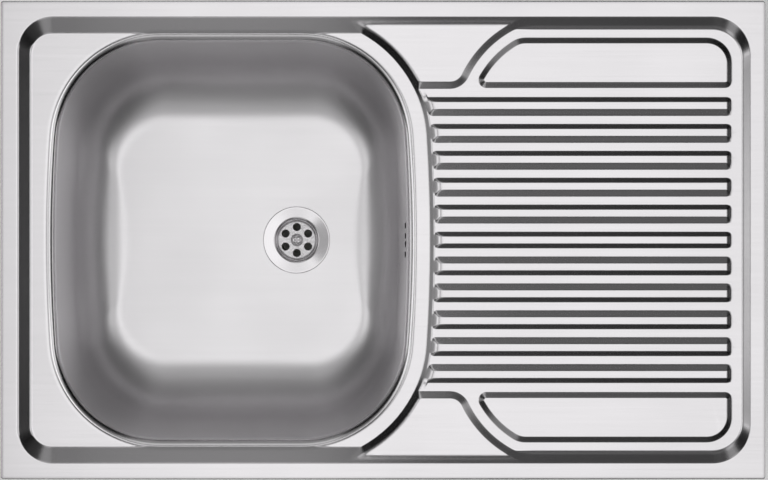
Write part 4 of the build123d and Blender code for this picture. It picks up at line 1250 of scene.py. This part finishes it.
def angle_ramp(tree, degrees, low, high, stops):
    """Level of light at an angle between two that stand at the ramp's ends."""
    share = math_node(tree, "DIVIDE", math_node(tree, "SUBTRACT", degrees, low), high - low)
    node = add_node(tree, "ShaderNodeValToRGB", {0: share})
    elements = node.color_ramp.elements
    while len(elements) > 1:
        elements.remove(elements[-1])
    for number, (stop, value) in enumerate(stops):
        position = (stop - low) / (high - low)
        element = elements.new(position) if number else elements[0]
        element.position = position
        element.color = (value, value, value, 1)
    return node.outputs[0]


def sky_tree(world):
    """Soft light by direction: bright overhead and in bands beside it, faint between them, dim in the corners."""
    world.use_nodes = True
    tree = world.node_tree
    back = next(n for n in tree.nodes if n.type == "BACKGROUND")
    calc, fit = partial(math_node, tree), partial(remap, tree)
    x, y, z = split(tree, tree.nodes.new("ShaderNodeTexCoord").outputs["Generated"])
    off_x, off_y = calc("ABSOLUTE", x), calc("ABSOLUTE", y)
    tilt_y = calc("DEGREES", calc("ARCTAN2", off_y, z))
    tilt_x = calc("DEGREES", calc("ARCTAN2", x, z))
    corner = calc("MULTIPLY", fit(calc("ABSOLUTE", tilt_x), 30, 38, 0, 0.7), fit(tilt_y, 32, 40, 0, 1))
    light = calc("MULTIPLY", angle_ramp(tree, tilt_y, 0, 90, light_across),
                 angle_ramp(tree, tilt_x, -90, 90, light_along))
    light = calc("MULTIPLY", light, calc("SUBTRACT", 1.0, corner))
    far_sides = fit(off_x, 0.97, 0.99, 0, 0.8)
    diagonals = calc("MULTIPLY", fit(z, 0.72, 0.82, 0, 0.16), fit(calc("MINIMUM", off_x, off_y), 0.1, 0.2, 0, 1))
    light = calc("MAXIMUM", calc("MAXIMUM", light, far_sides), diagonals)
    strength = 1.25
    tree.links.new(calc("MULTIPLY", light, strength), back.inputs["Strength"])
    back.inputs["Color"].default_value = (1, 1, 1, 1)


class SINK_OT_stage(bpy.types.Operator):
    """Sets the floor, the soft light and the camera straight above the sink"""

    bl_idname = "sink.stage"
    bl_label = "Stage"

    # name, place, size, watts, turn, and whether steel mirrors it
    lamps = (
        ("fill_left", (-1.6, -0.6, 2.2), (1.6, 1.6), 26, (0.25, -0.62, 0), False),
        ("fill_right", (1.6, 0.6, 2.2), (1.6, 1.6), 26, (-0.25, 0.62, 0), False),
        ("low_card_front", (-0.31, -0.9, 0.6), (0.56, 0.8), 0.32, (quarter, 0, 0), True),
        ("low_card_back", (-0.31, 0.9, 0.6), (0.56, 0.8), 0.32, (-quarter, 0, 0), True),
        ("high_card_front", (-0.31, -0.9, 1.65), (0.56, 1.3), 1.2, (quarter, 0, 0), True),
        ("high_card_back", (-0.31, 0.9, 1.65), (0.56, 1.3), 1.2, (-quarter, 0, 0), True),
    )
    floor_reach, floor_gap = 6000, 2
    above, seen_width, eye_x, sensor = 2.2, 0.8032, 0.00105, 36

    def execute(self, context):
        scene = context.scene
        reach, low = self.floor_reach, cad_box[0][2] * 1000 - self.floor_gap
        rows = [(-reach, -reach, low), (reach, -reach, low), (reach, reach, low), (-reach, reach, low)]
        ground = place("floor", rows, [(0, 1, 2, 3)], floor_finish(tuple(scene.sink_finish.floor)))
        scene.world = bpy.data.worlds.new("soft_room")
        sky_tree(scene.world)
        for name, spot, size, watts, turn, shines in self.lamps:
            lamp = bpy.data.lights.new(name, "AREA")
            lamp.shape = "RECTANGLE"
            lamp.size, lamp.size_y = size
            lamp.energy = watts
            holder = bpy.data.objects.new(name, lamp)
            holder.location, holder.rotation_euler = spot, turn
            holder.visible_glossy, holder.visible_camera = shines, False
            scene.collection.objects.link(holder)
        camera = bpy.data.cameras.new("overhead")
        eye = bpy.data.objects.new("overhead", camera)
        scene.collection.objects.link(eye)
        eye.location = (self.eye_x, 0, mm(scene.sink_deck.height) / 1000 + self.above)
        camera.sensor_width = self.sensor
        camera.lens = self.sensor * self.above / self.seen_width
        camera.clip_end = 50
        scene.camera = eye
        scene.view_settings.view_transform = "Standard"
        return {"FINISHED"}


class SINK_PT_pieces(bpy.types.Panel):
    """The sink's pieces and their sizes"""

    bl_idname = "SINK_PT_pieces"
    bl_label = "Kitchen sink"
    bl_space_type = "VIEW_3D"
    bl_region_type = "UI"
    bl_category = "Sink"

    def draw(self, context):
        layout = self.layout
        for operator in operators:
            layout.operator(operator.bl_idname)
        for holder, group in groups:
            box = layout.box()
            box.label(text=group.__doc__)
            for field in group.__annotations__:
                box.prop(getattr(context.scene, holder), field)


operators = (
    SINK_OT_deck,
    SINK_OT_bowl,
    SINK_OT_strainer,
    SINK_OT_strainer_screw,
    SINK_OT_kept_nodes,
    SINK_OT_stage,
)


def register():
    """Registers the sizes, the operators and the panel."""
    for holder, group in groups:
        bpy.utils.register_class(group)
        setattr(bpy.types.Scene, holder, PointerProperty(type=group))
    for item in operators + (SINK_PT_pieces,):
        bpy.utils.register_class(item)


def unregister():
    """Takes them out again."""
    for item in reversed(operators + (SINK_PT_pieces,)):
        bpy.utils.unregister_class(item)
    for holder, group in reversed(groups):
        delattr(bpy.types.Scene, holder)
        bpy.utils.unregister_class(group)


def main():
    """Builds every piece in order."""
    register()
    bpy.ops.sink.deck()
    bpy.ops.sink.bowl()
    bpy.ops.sink.strainer()
    bpy.ops.sink.strainer_screw()
    bpy.ops.sink.kept_nodes()
    bpy.ops.sink.stage()


if __name__ == "__main__":
    main()
